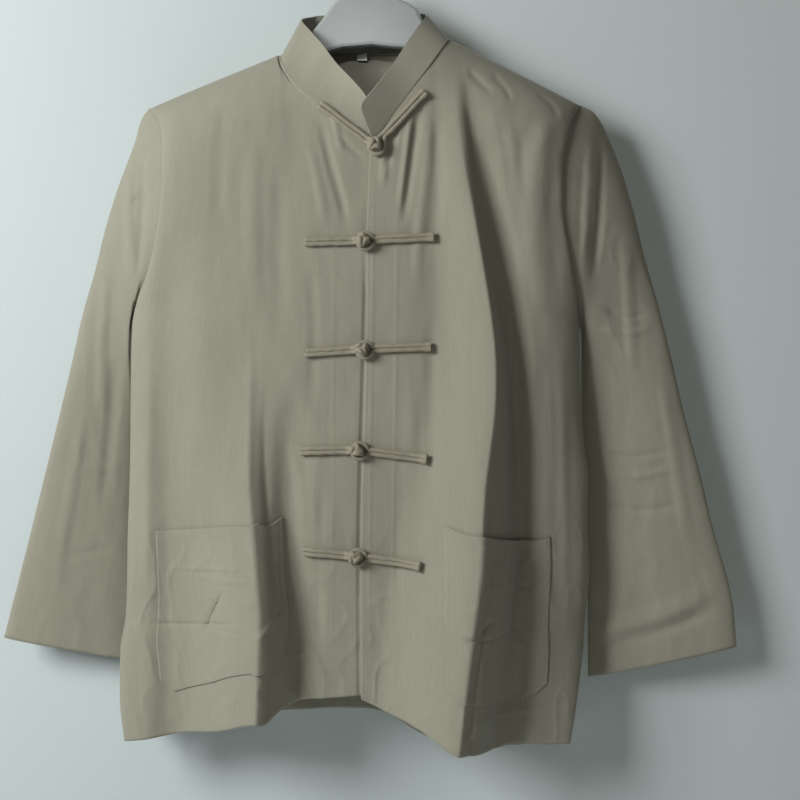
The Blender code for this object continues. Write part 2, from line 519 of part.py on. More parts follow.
def sleeve_grid(side, front_edge, back_edge):
    """Rings of the flattened sleeve tube, from the armhole seam to the cuff.

    The first ring takes the points of the front's and the back's own armhole edges."""
    left = side == "left"
    outer = LEFT_SLEEVE_OUTER if left else RIGHT_SLEEVE_OUTER
    inner = LEFT_SLEEVE_INNER if left else RIGHT_SLEEVE_INNER
    away = -1 if left else 1

    def along(rows, v):
        rows = np.array(rows)
        length = np.concatenate([[0], np.cumsum(np.linalg.norm(np.diff(rows, axis=0), axis=1))])
        table = [(length[i] / length[-1], *rows[i]) for i in range(len(rows))]
        return np.array([spline(table, v, 0, k) for k in (1, 2, 3)])

    under = ROWS.index(UNDERARM)
    take = [0] + list(range(2, under + 1))
    hole = [np.array(front_edge[i]) for i in take] + [np.array(back_edge[i]) for i in take[-2:0:-1]]
    for point in hole:
        point[0] += away * GAP
    hole[0][1] = hole[len(take) - 1][1] = 0.0
    top, low = hole[0][2], hole[len(take) - 1][2]
    angles = []
    for n, point in enumerate(hole):
        a = math.acos(max(-1.0, min(1.0, 1 - 2 * (top - point[2]) / (top - low))))
        angles.append(a if n < len(take) else 2 * math.pi - a)

    def ring(v):
        o, n = along(outer, v), along(inner, v)
        half = spline(SLEEVE_HALF_DEPTH, v)
        middle, reach = (o + n) / 2, (o - n) / 2
        return [middle + reach * math.cos(a) - np.array((0, half * math.sin(a), 0)) for a in angles]

    start = ring(0)
    grid = []
    for v in SLEEVE_ROWS:
        pull = max(1 - v / 0.3, 0) ** 2
        row = [p + (h - s) * pull for p, h, s in zip(ring(v), hole, start)]
        if v > 0:
            row = [clear_of_body(side, p, SLEEVE_CLEAR * min(v / 0.04, 1) + GAP) for p in row]
        grid.append([tuple(p) for p in row])
    return grid


def hold_sleeve(i, j, outer, inner):
    if i == 0:
        inner[0] = outer[0]
    return inner


left_sleeve = sleeve_grid("left", [row[-1] for row in left_grid], [row[0] for row in back_grid])
right_sleeve = sleeve_grid("right", [row[-1] for row in right_grid], [row[-1] for row in back_grid])
shell("sleeve_left", left_sleeve, WALL, hold_sleeve, closed=True)
shell("sleeve_right", right_sleeve, WALL, hold_sleeve, turn=-1, closed=True)

# The collar: one band; its foot follows the panels' own neckline points, a seam gap away
foot = []
for u in LEFT_U:
    x, y, z = front_point("left", u, 0)
    if LEFT_NECK[0][0] + 1e-4 < x < 0.0075:
        foot.append(("left front", x, y, z))
ends = len(foot)
for u in BACK_U:
    x, y, z = back_point(u, 0)
    if LEFT_NECK[0][0] - 1e-3 <= x <= RIGHT_NECK[0][0] + 1e-3:
        foot.append(("back", x, y, z))
for u in RIGHT_U[::-1]:
    x, y, z = front_point("right", u, 0)
    if x < RIGHT_NECK[0][0] - 1e-4:
        foot.append(("right front", x, y, z))
collar_grid = [[], [], []]
for part, x, y, z in foot:
    rows = [row for row in COLLAR_TOP if row[0] == part]
    if part == "left front":
        rows = rows + [COLLAR_TOP[5]]
    if part == "right front":
        rows = [COLLAR_TOP[9]] + rows
    table = [(row[1], row[2], row[3], row[4]) for row in rows]
    top = np.array([spline(table, x, 0, k) for k in (1, 2, 3)])
    inward = 1 if x < 0 else -1
    side = 1 - smooth(0.004, 0.030, abs(abs(x) - 0.096))
    low = np.array((x + inward * side * GAP, y, z + GAP * 1.3 + side * 0.0013))
    for k, share in enumerate((0, 0.5, 1)):
        collar_grid[k].append(tuple(low + (top - low) * share))


def hold_collar(i, j, outer, inner):
    """Keeps the foot level, so that it doesn't dip into the panels at a strong lean."""
    if i == 0:
        step = (inner - outer) * (1, 1, 0)
        inner = outer + step * COLLAR_WALL / max(np.linalg.norm(step), 1e-6)
    return inner


shell("collar", collar_grid, COLLAR_WALL, hold_collar)


def pocket(name, side, grid, us, ways):
    """Patch pocket made from its front's own points, moved out from the cloth."""
    first, last = (us.index(value) for value in POCKET_COLUMNS[side])
    top, low = (ROWS.index(value) for value in POCKET_ROWS)
    points = np.array(grid)
    across = np.gradient(points, axis=1)
    down = np.gradient(points, axis=0)
    normal = np.cross(across, down)
    normal *= np.sign(-normal[:, :, 1:2]) / np.linalg.norm(normal, axis=2, keepdims=True)
    moved = points + normal * GAP
    cut = moved[top:low + 1, first:last + 1]
    height, width = cut.shape[:2]
    left_out = {(height - 2, 0): 1, (height - 2, width - 2): 1}
    rows = [[tuple(p) for p in row] for row in cut]
    return patch(name, rows, WALL, CLOTH, ways[top:low, first:last], left_out)


pocket("pocket_left", "left", left_grid, LEFT_U, left_ways)
pocket("pocket_right", "right", right_grid, RIGHT_U, right_ways)


def surface_y(x, z):
    """Outer face of whichever front shows at x, z."""
    opening = spline(OPENING, z)
    if x < opening:
        return front_y(x, z, min(abs(x - opening) / 0.26, 0.9), 0.0)
    return front_y(x, z, min(abs(x - opening) / 0.24, 0.9), 0.0) - LAP_RISE * (1 - smooth(0.03, 0.09, x))


def frog(number, row):
    """One frog: a ball knot on a doubled cord, and a loop of doubled cord below the ball."""
    left_x, left_z, ball_x, ball_z, right_x, right_z = row
    level = min(surface_y(ball_x + d, ball_z) for d in (-0.008, 0, 0.008)) - FROG_LIFT - CORD_R
    ball_y = level - 0.0077

    def lane(x0, z0, x1, z1, shift, share, lift=0.0):
        length = math.hypot(x1 - x0, z1 - z0)
        x = x0 + (x1 - x0) * share - (z1 - z0) / length * shift
        z = z0 + (z1 - z0) * share + (x1 - x0) / length * shift
        ahead = min(surface_y(x + d, z) for d in (-0.004, 0, 0.004))
        return np.array((x, ahead - FROG_LIFT - CORD_R - lift, z))

    spread = CORD_R + 0.00025
    knot = np.array((ball_x, ball_y, ball_z))
    length = math.hypot(ball_x - left_x, ball_z - left_z)
    shares = [0, 0.3, 0.6, 1 - 0.020 / length]
    ends = []
    for shift in (spread, -spread):
        run = [lane(left_x, left_z, ball_x, ball_z, shift, s) for s in shares]
        near = lane(left_x, left_z, ball_x, ball_z, shift, 1 - 0.011 / length)
        near[1] = ball_y + 0.0015
        last = lane(left_x, left_z, ball_x, ball_z, shift * 0.9, 1 - 0.004 / length)
        last[1] = ball_y
        ends.append(run + [near, last])
    path = ends[0] + ends[1][::-1]
    button = cord(f"frog_button_{number}", [tuple(p) for p in path], CORD_R)
    solid = finish(button, CORD)
    bpy.ops.mesh.primitive_uv_sphere_add(segments=12, ring_count=8, radius=BALL_R, location=tuple(knot))
    ball = bpy.context.object
    ball.name = f"ball_{number}"
    join = solid.modifiers.new("ball", "BOOLEAN")
    join.operation = "UNION"
    join.solver = "EXACT"
    join.object = ball
    bpy.context.view_layer.update()
    real = bpy.data.meshes.new_from_object(solid.evaluated_get(bpy.context.evaluated_depsgraph_get()))
    solid.modifiers.clear()
    solid.data.clear_geometry()
    work = bmesh.new()
    work.from_mesh(real)
    bmesh.ops.remove_doubles(work, verts=work.verts, dist=1e-5)
    bmesh.ops.recalc_face_normals(work, faces=work.faces)
    work.to_mesh(solid.data)
    work.free()
    bpy.data.meshes.remove(real)
    bpy.data.objects.remove(ball, do_unlink=True)

    length = math.hypot(right_x - ball_x, right_z - ball_z)
    start = 1 - 0.012 / length
    one = [lane(right_x, right_z, ball_x, ball_z, spread, s) for s in (0, 0.3, 0.6, start)]
    two = [lane(right_x, right_z, ball_x, ball_z, -spread, s) for s in (0, 0.3, 0.6, start)]
    heading = math.atan2(right_z - ball_z, right_x - ball_x)
    ring = []
    for i in range(9):
        a = heading - math.radians(38) - math.radians(284) * i / 8
        ring.append(np.array((ball_x + RING_R * math.cos(a), level, ball_z + RING_R * math.sin(a))))
    path = one + ring + two[::-1] if (one[-1] - ring[0]) @ (one[-1] - ring[0]) < (one[-1] - ring[-1]) @ (
        one[-1] - ring[-1]) else one + ring[::-1] + two[::-1]
    finish(cord(f"frog_loop_{number}", [tuple(p) for p in path], CORD_R), CORD)


for number, row in enumerate(FROGS, 1):
    frog(number, row)

# Neck label: a small woven tab hanging inside the back, below the neck seam
label_x, label_z = LABEL_PLACE
label_y = back_y(label_x, label_z, 0.0, 0.0) - LABEL_DEPTH
bpy.ops.mesh.primitive_cube_add(size=1, location=(label_x, label_y, label_z))
label = bpy.context.object
label.name = "neck_label"
label.scale = LABEL
bpy.ops.object.transform_apply(location=True, scale=True)
finish(label, (0.62, 0.63, 0.60))

# Hanger: one outline with rounded edges
outline = bpy.data.curves.new("hanger", "CURVE")
outline.dimensions = "2D"
outline.fill_mode = "BOTH"
outline.extrude = HANGER_HALF - HANGER_ROUND
outline.bevel_depth = HANGER_ROUND
outline.bevel_resolution = 1
outline.offset = -HANGER_ROUND
line = outline.splines.new("POLY")
line.points.add(len(HANGER) - 1)
for point, (x, z) in zip(line.points, HANGER):
    point.co = (x, z, 0, 1)
line.use_cyclic_u = True
hanger = bpy.data.objects.new("hanger", outline)
hanger.rotation_euler = (math.pi / 2, 0, 0)
bpy.context.scene.collection.objects.link(hanger)
bpy.ops.object.select_all(action="DESELECT")
hanger.select_set(True)
bpy.context.view_layer.objects.active = hanger
bpy.ops.object.convert(target="MESH")
bpy.ops.object.transform_apply(rotation=True)
finish(bpy.context.object, (0.30, 0.32, 0.32), 0.45)

# Hook: bent wire that stands on the dome; its inner top is the origin
centre_z = HOOK_R - HOOK_BEND
path = [(0.0034, 0, -0.0616 + GAP + 0.0002), (0.0034, 0, -0.050), (0.0060, 0, -0.0440)]
for degrees in range(-48, 211, 20):
    a = math.radians(degrees)
    path.append((HOOK_BEND * math.cos(a), 0, centre_z + HOOK_BEND * math.sin(a)))
finish(cord("hook", path, HOOK_R, 2), (0.55, 0.56, 0.57), 0.3, 1.0)
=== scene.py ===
import math
import random

import bmesh
import bpy
import numpy as np
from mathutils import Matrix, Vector, noise


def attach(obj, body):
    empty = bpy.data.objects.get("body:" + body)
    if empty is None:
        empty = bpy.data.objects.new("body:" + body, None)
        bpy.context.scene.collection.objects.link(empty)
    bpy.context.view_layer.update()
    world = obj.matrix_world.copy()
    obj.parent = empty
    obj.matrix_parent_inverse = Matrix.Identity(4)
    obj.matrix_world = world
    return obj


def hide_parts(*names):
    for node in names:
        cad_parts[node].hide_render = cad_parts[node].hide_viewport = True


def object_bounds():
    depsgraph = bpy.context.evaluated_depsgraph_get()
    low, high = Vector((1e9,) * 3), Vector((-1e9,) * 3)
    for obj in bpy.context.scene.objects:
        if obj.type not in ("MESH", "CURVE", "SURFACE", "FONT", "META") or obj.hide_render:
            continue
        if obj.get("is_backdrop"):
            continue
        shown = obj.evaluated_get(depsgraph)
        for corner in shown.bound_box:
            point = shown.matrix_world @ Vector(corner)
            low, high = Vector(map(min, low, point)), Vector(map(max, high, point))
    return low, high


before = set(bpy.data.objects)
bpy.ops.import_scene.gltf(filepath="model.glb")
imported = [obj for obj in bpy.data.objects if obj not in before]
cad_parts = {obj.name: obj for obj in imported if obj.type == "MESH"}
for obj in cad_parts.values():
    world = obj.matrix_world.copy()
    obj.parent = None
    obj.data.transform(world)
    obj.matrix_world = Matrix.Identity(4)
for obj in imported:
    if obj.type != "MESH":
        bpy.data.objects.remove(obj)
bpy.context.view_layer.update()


# Camera and studio
# A plain pale wall stands close behind the jacket, with a pale floor below it.  One large soft
# lamp stands at the upper left, so the folds shade towards the right and stay deep there.  The
# wall casts no shadow and is clear from behind, so a lamp there can light the jacket's back.
PIXEL = 0.00112        # width of one pixel in the plane of the hanger
CAMERA = (0.037, -1.45, -0.5264)
SENSOR = 36.0
WALL_Y = 0.052
FLOOR_Z = -1.25

view = bpy.data.objects.new("camera", bpy.data.cameras.new("camera"))
view.location = CAMERA
view.rotation_euler = (math.pi / 2, 0, 0)
view.data.sensor_width = SENSOR
view.data.lens = SENSOR * -CAMERA[1] / (800 * PIXEL)
bpy.context.scene.collection.objects.link(view)
bpy.context.scene.camera = view
bpy.context.scene.view_settings.view_transform = "Standard"


def node_in(tree, kind, **values):
    """Adds one shader node, with its settings and plain inputs."""
    made = tree.nodes.new(kind)
    for key, value in values.items():
        if hasattr(made, key):
            setattr(made, key, value)
        else:
            made.inputs[key.replace("_", " ")].default_value = value
    return made


def plain_stage(name, corners, colour, one_sided):
    mesh = bpy.data.meshes.new(name)
    mesh.from_pydata(corners, [], [(0, 1, 2, 3)])
    made = bpy.data.objects.new(name, mesh)
    bpy.context.scene.collection.objects.link(made)
    paint = bpy.data.materials.new(name)
    paint.use_nodes = True
    tree = paint.node_tree
    shader = tree.nodes["Principled BSDF"]
    shader.inputs["Base Color"].default_value = (*colour, 1)
    shader.inputs["Roughness"].default_value = 0.9
    shader.inputs["Specular IOR Level"].default_value = 0.1
    if one_sided:
        clear = tree.nodes.new("ShaderNodeBsdfTransparent")
        facing = tree.nodes.new("ShaderNodeNewGeometry")
        ray = tree.nodes.new("ShaderNodeLightPath")
        either = tree.nodes.new("ShaderNodeMath")
        either.operation = "MAXIMUM"
        mix = tree.nodes.new("ShaderNodeMixShader")
        tree.links.new(facing.outputs["Backfacing"], either.inputs[0])
        tree.links.new(ray.outputs["Is Shadow Ray"], either.inputs[1])
        tree.links.new(either.outputs[0], mix.inputs[0])
        tree.links.new(shader.outputs[0], mix.inputs[1])
        tree.links.new(clear.outputs[0], mix.inputs[2])
        tree.links.new(mix.outputs[0], tree.nodes["Material Output"].inputs["Surface"])
    made.data.materials.append(paint)
    made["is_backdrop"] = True


plain_stage("wall", [(-4, WALL_Y, -1.25), (4, WALL_Y, -1.25), (4, WALL_Y, 2.5), (-4, WALL_Y, 2.5)],
            (0.585, 0.66, 0.67), True)
plain_stage("floor", [(-4, -4, FLOOR_Z), (4, -4, FLOOR_Z), (4, 4, FLOOR_Z), (-4, 4, FLOOR_Z)],
            (0.6, 0.62, 0.62), False)

for name, place, size, power, colour in (("key", (-1.42, -1.3, 0.18), 0.8, 39.0, (1.0, 1.0, 0.985)),
                                         ("fill", (0.3, -2.6, 0.5), 1.6, 3.5, (1.0, 0.92, 0.84)),
                                         ("back fill", (0.9, 2.3, 0.7), 1.6, 34.0, (1.0, 1.0, 1.0))):
    lamp = bpy.data.objects.new(name, bpy.data.lights.new(name, "AREA"))
    lamp.data.size = size
    lamp.data.energy = power
    lamp.data.color = colour
    lamp.location = place
    aim = Vector((0.02, 0.0, -0.52)) - Vector(place)
    lamp.rotation_euler = aim.to_track_quat("-Z", "Y").to_euler()
    bpy.context.scene.collection.objects.link(lamp)
sky = bpy.data.worlds.new("studio")
sky.use_nodes = True
sky.node_tree.nodes["Background"].inputs["Color"].default_value = (1.0, 0.88, 0.78, 1)
sky.node_tree.nodes["Background"].inputs["Strength"].default_value = 0.06
bpy.context.scene.world = sky
neck_lamp = bpy.data.objects.new("neck lamp", bpy.data.lights.new("neck lamp", "SPOT"))
neck_lamp.data.energy = 26.0
neck_lamp.data.spot_size = math.radians(6.5)
neck_lamp.data.spot_blend = 1.0
neck_lamp.data.shadow_soft_size = 0.03
neck_lamp.location = (-0.35, -1.55, 0.25)
aim = Vector((0.0, 0.02, -0.165)) - neck_lamp.location
neck_lamp.rotation_euler = aim.to_track_quat("-Z", "Y").to_euler()
bpy.context.scene.collection.objects.link(neck_lamp)


# Cloth of the jacket
# A plain-woven cotton with thick and thin warp threads, so fine upright streaks run down every
# piece.  It is matte, and creased from being packed.
weave = bpy.data.node_groups.new("cotton weave", "ShaderNodeTree")
for socket, kind in (("Vector", "NodeSocketVector"), ("Colour", "NodeSocketColor"),
                     ("Streaks", "NodeSocketFloat"), ("Depth", "NodeSocketFloat")):
    weave.interface.new_socket(name=socket, in_out="INPUT", socket_type=kind)
for socket, kind in (("Colour", "NodeSocketColor"), ("Roughness", "NodeSocketFloat"),
                     ("Normal", "NodeSocketVector")):
    weave.interface.new_socket(name=socket, in_out="OUTPUT", socket_type=kind)


def build_weave():
    tree, link = weave, weave.links.new
    given = tree.nodes.new("NodeGroupInput")
    out = tree.nodes.new("NodeGroupOutput")
    scaled = {}
    for label, scale in (("warp", (2600.0, 90.0, 1.0)), ("slub", (420.0, 14.0, 1.0)),
                         ("weft", (60.0, 1700.0, 1.0)),
                         ("cloud", (14.0, 7.0, 1.0))):
        turn = node_in(tree, "ShaderNodeMapping")
        turn.inputs["Scale"].default_value = scale
        link(given.outputs["Vector"], turn.inputs["Vector"])
        grain = node_in(tree, "ShaderNodeTexNoise", Scale=1.0, Detail=2.0, Roughness=0.55)
        link(turn.outputs[0], grain.inputs["Vector"])
        scaled[label] = grain.outputs["Fac"]

    def calc(kind, a, b):
        made = tree.nodes.new("ShaderNodeMath")
        made.operation = kind
        for slot, value in zip(made.inputs, (a, b)):
            if isinstance(value, (int, float)):
                slot.default_value = value
            else:
                link(value, slot)
        return made.outputs[0]

    threads = calc("ADD", calc("MULTIPLY", scaled["warp"], 0.55), calc("MULTIPLY", scaled["weft"], 0.45))
    streak = calc("MULTIPLY", calc("SUBTRACT", scaled["slub"], 0.5), given.outputs["Streaks"])
    tone = calc("ADD", calc("MULTIPLY", calc("SUBTRACT", threads, 0.5), 0.45), streak)
    tone = calc("ADD", tone, calc("MULTIPLY", calc("SUBTRACT", scaled["cloud"], 0.5), 0.14))
    bright = calc("ADD", tone, 1.0)
    shade = tree.nodes.new("ShaderNodeVectorMath")
    shade.operation = "SCALE"
    link(given.outputs["Colour"], shade.inputs[0])
    link(bright, shade.inputs["Scale"])
    link(shade.outputs[0], out.inputs["Colour"])
    link(calc("ADD", calc("MULTIPLY", threads, 0.12), 0.84), out.inputs["Roughness"])
    bump = node_in(tree, "ShaderNodeBump", Strength=0.7)
    bump.inputs["Distance"].default_value = 0.0003
    link(calc("MULTIPLY", calc("ADD", threads, streak), given.outputs["Depth"]), bump.inputs["Height"])
    link(bump.outputs[0], out.inputs["Normal"])


build_weave()


def cloth_material(name, colour, streaks=0.17, depth=1.0, sheen=0.08):
    made = bpy.data.materials.new(name)
    made.use_nodes = True
    tree = made.node_tree
    shader = tree.nodes["Principled BSDF"]
    where = node_in(tree, "ShaderNodeUVMap", uv_map="cloth")
    woven = tree.nodes.new("ShaderNodeGroup")
    woven.node_tree = weave
    woven.inputs["Colour"].default_value = (*colour, 1)
    woven.inputs["Streaks"].default_value = streaks
    woven.inputs["Depth"].default_value = depth
    tree.links.new(where.outputs[0], woven.inputs["Vector"])
    tree.links.new(woven.outputs["Colour"], shader.inputs["Base Color"])
    tree.links.new(woven.outputs["Roughness"], shader.inputs["Roughness"])
    tree.links.new(woven.outputs["Normal"], shader.inputs["Normal"])
    shader.inputs["Specular IOR Level"].default_value = 0.22
    shader.inputs["Sheen Weight"].default_value = sheen
    shader.inputs["Sheen Roughness"].default_value = 0.6
    return made


COTTON = (0.3, 0.292, 0.232)
cotton = cloth_material("jacket cotton", COTTON)
cotton_inside = cloth_material("collar lining cotton", (0.26, 0.252, 0.206), 0.08, 0.8)
CLOTH_THICK = 0.0008


def cloth_piece(name, grid, paint, thick=CLOTH_THICK, closed=False, turn=False):
    """Sheet of cloth through a grid of points, with a map of its own lengths, thickened inwards."""
    grid = np.asarray(grid, float)
    rows, columns = grid.shape[:2]
    across = np.linalg.norm(np.diff(grid, axis=1), axis=2)
    down = np.linalg.norm(np.diff(grid, axis=0), axis=2)
    u = np.concatenate([np.zeros((rows, 1)), np.cumsum(across, axis=1)], axis=1)
    v = np.concatenate([np.zeros((1, columns)), np.cumsum(down, axis=0)], axis=0)
    wide = columns if closed else columns - 1
    faces, uvs = [], []
    for i in range(rows - 1):
        for j in range(wide):
            k = (j + 1) % columns
            loop = [(i, j), (i, k), (i + 1, k), (i + 1, j)]
            if turn:
                loop = loop[::-1]
            faces.append([a * columns + b for a, b in loop])
            for a, b in loop:
                at = u[a, b] if not (closed and b == 0 and k == 0) else u[a, -1] + 0.002
                uvs.append((at, -v[a, b]))
    mesh = bpy.data.meshes.new(name)
    mesh.from_pydata([tuple(p) for p in grid.reshape(-1, 3)], [], faces)
    layer = mesh.uv_layers.new(name="cloth")
    layer.data.foreach_set("uv", np.array(uvs, float).ravel())
    mesh.shade_smooth()
    made = bpy.data.objects.new(name, mesh)
    bpy.context.scene.collection.objects.link(made)
    made.data.materials.append(paint)
    wall = made.modifiers.new("cloth", "SOLIDIFY")
    wall.thickness = thick
    wall.offset = -1.0
    wall.use_rim = True
    return made


def stand_for(piece, node):
    """Puts a piece on the one body, in place of its solid, which is hidden."""
    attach(piece, "root")
    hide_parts(node)


# Fronts
# Each front is one panel from the shoulder seam to the hem, with a wide turned facing at the
# opening.  The right one laps over the left.  Large folds hang from the shoulders and neck.
GAP = 0.0003
LAP = 0.012
LAP_RISE = 0.0026
SHOULDER_ROLL = 0.08
UNDERARM = 0.345
# columns: z, x, front y, back y
LEFT_EDGE = [
    (-0.2005, -0.243, 0.0, 0.0), (-0.2169, -0.2314, -0.014, 0.011), (-0.2459, -0.2248, -0.026, 0.021),
    (-0.2789, -0.2237, -0.032, 0.026), (-0.3252, -0.2266, -0.034, 0.028),
    (-0.3565, -0.2326, -0.031, 0.026), (-0.3854, -0.2406, -0.024, 0.021),
    (-0.4131, -0.2529, -0.012, 0.012), (-0.4422, -0.2614, 0.0, 0.0), (-0.4597, -0.2622, 0.0, 0.0),
    (-0.5264, -0.2633, 0.0, 0.0), (-0.6154, -0.2646, 0.0, 0.0), (-0.6754, -0.2667, 0.0, 0.0),
    (-0.7644, -0.2689, 0.0, 0.0), (-0.8045, -0.2744, -0.004, 0.001), (-0.8596, -0.2729, -0.015, 0.003),
    (-0.9011, -0.2665, -0.024, 0.005)]
RIGHT_EDGE = [
    (-0.1971, 0.2386, 0.0, 0.0), (-0.2136, 0.2289, -0.014, 0.011), (-0.2404, 0.2207, -0.026, 0.021),
    (-0.2723, 0.2155, -0.032, 0.026), (-0.3142, 0.2153, -0.034, 0.028), (-0.3619, 0.2224, -0.03, 0.026),
    (-0.3939, 0.2292, -0.02, 0.019), (-0.418, 0.2334, -0.01, 0.01), (-0.4405, 0.2359, 0.0, 0.0),
    (-0.5142, 0.2383, 0.0, 0.0), (-0.5787, 0.2428, 0.0, 0.0), (-0.612, 0.2472, 0.0, 0.0),
    (-0.6599, 0.2461, 0.0, 0.0), (-0.7144, 0.2483, 0.0, 0.0), (-0.7722, 0.2433, 0.0, 0.0),
    (-0.81, 0.2405, -0.005, 0.001), (-0.8389, 0.2357, -0.013, 0.003), (-0.8763, 0.2292, -0.023, 0.004),
    (-0.9027, 0.224, -0.028, 0.005)]
# columns: x, z
LEFT_NECK = [(-0.0985, -0.1422), (-0.0952, -0.1576), (-0.0874, -0.1742), (-0.0745, -0.1898),
             (-0.0498, -0.2063), (-0.0225, -0.2236), (0.0068, -0.2462), (0.019, -0.2475)]
RIGHT_NECK = [(0.0941, -0.1254), (0.0858, -0.1407), (0.0721, -0.1612), (0.0533, -0.1871),
              (0.0338, -0.2139), (0.0154, -0.2387), (0.0068, -0.2462)]
# columns: z, x
OPENING = [(-0.2462, 0.0068), (-0.257, 0.0047), (-0.354, 0.0014), (-0.4725, 0.0004),
           (-0.5805, -0.003), (-0.7, -0.0053), (-0.85, -0.005)]
# columns: x, z
LEFT_HEM = [(-0.2665, -0.9011), (-0.2137, -0.8932), (-0.1595, -0.8818), (-0.1155, -0.8694),
            (-0.1071, -0.8702), (-0.094, -0.862), (-0.0715, -0.8541), (-0.0348, -0.8505),
            (-0.005, -0.8485), (0.007, -0.8485)]
RIGHT_HEM = [(-0.005, -0.8516), (0.0187, -0.8626), (0.0623, -0.8775), (0.097, -0.8959),
             (0.1155, -0.8985), (0.1454, -0.9025), (0.1609, -0.902), (0.224, -0.9027)]
# columns: z, front, back
DEPTH = [(-0.1, 0.05, 0.034), (-0.25, 0.054, 0.034), (-0.35, 0.053, 0.036),
         (-0.47, 0.052, 0.037), (-0.58, 0.048, 0.037), (-0.7, 0.044, 0.036),
         (-0.85, 0.041, 0.035), (-0.93, 0.041, 0.035)]
# columns: z, x, rise, width on the left, width on the right
FRONT_FOLDS = {
    "ridge from the right neck point to the hem": [(-0.17, 0.0955, 0.0, 0.02, 0.015),
        (-0.234, 0.1006, 0.005, 0.03, 0.018), (-0.283, 0.1076, 0.01, 0.04, 0.022),
        (-0.34, 0.118, 0.015, 0.05, 0.024), (-0.439, 0.1347, 0.022, 0.065, 0.026),
        (-0.491, 0.1387, 0.026, 0.075, 0.028), (-0.535, 0.1374, 0.031, 0.08, 0.03),
        (-0.622, 0.1263, 0.042, 0.088, 0.04), (-0.712, 0.1204, 0.054, 0.095, 0.048),
        (-0.779, 0.1118, 0.06, 0.098, 0.055), (-0.895, 0.0981, 0.068, 0.098, 0.062)],
    "trough to the right of that ridge": [(-0.17, 0.11, 0.0, 0.014, 0.02),
        (-0.283, 0.13, -0.006, 0.018, 0.024), (-0.384, 0.145, -0.009, 0.02, 0.026),
        (-0.491, 0.16, -0.012, 0.022, 0.028), (-0.58, 0.168, -0.014, 0.026, 0.03),
        (-0.67, 0.172, -0.01, 0.03, 0.03), (-0.895, 0.165, -0.004, 0.034, 0.03)],
    "ridge below the left chest": [(-0.48, -0.124, 0.0, 0.04, 0.03), (-0.56, -0.125, 0.006, 0.055, 0.034),
        (-0.612, -0.125, 0.012, 0.065, 0.034), (-0.669, -0.12, 0.022, 0.072, 0.034),
        (-0.725, -0.115, 0.032, 0.078, 0.036), (-0.765, -0.112, 0.038, 0.082, 0.036),
        (-0.87, -0.1145, 0.047, 0.09, 0.04)],
    "valley to the right of it": [(-0.5, -0.08, 0.0, 0.02, 0.03), (-0.62, -0.082, -0.006, 0.022, 0.03),
        (-0.765, -0.074, -0.008, 0.026, 0.032), (-0.87, -0.074, -0.006, 0.026, 0.032)],
    "valley beside the left side seam": [(-0.33, -0.212, 0.0, 0.03, 0.04),
        (-0.48, -0.214, -0.005, 0.03, 0.045), (-0.7, -0.214, -0.007, 0.03, 0.045),
        (-0.9, -0.214, -0.009, 0.03, 0.05)],
    "pull below the right shoulder": [(-0.215, 0.2, 0.0, 0.02, 0.02), (-0.26, 0.188, 0.004, 0.022, 0.024),
        (-0.34, 0.182, 0.005, 0.026, 0.028), (-0.46, 0.196, 0.0, 0.026, 0.024)]}
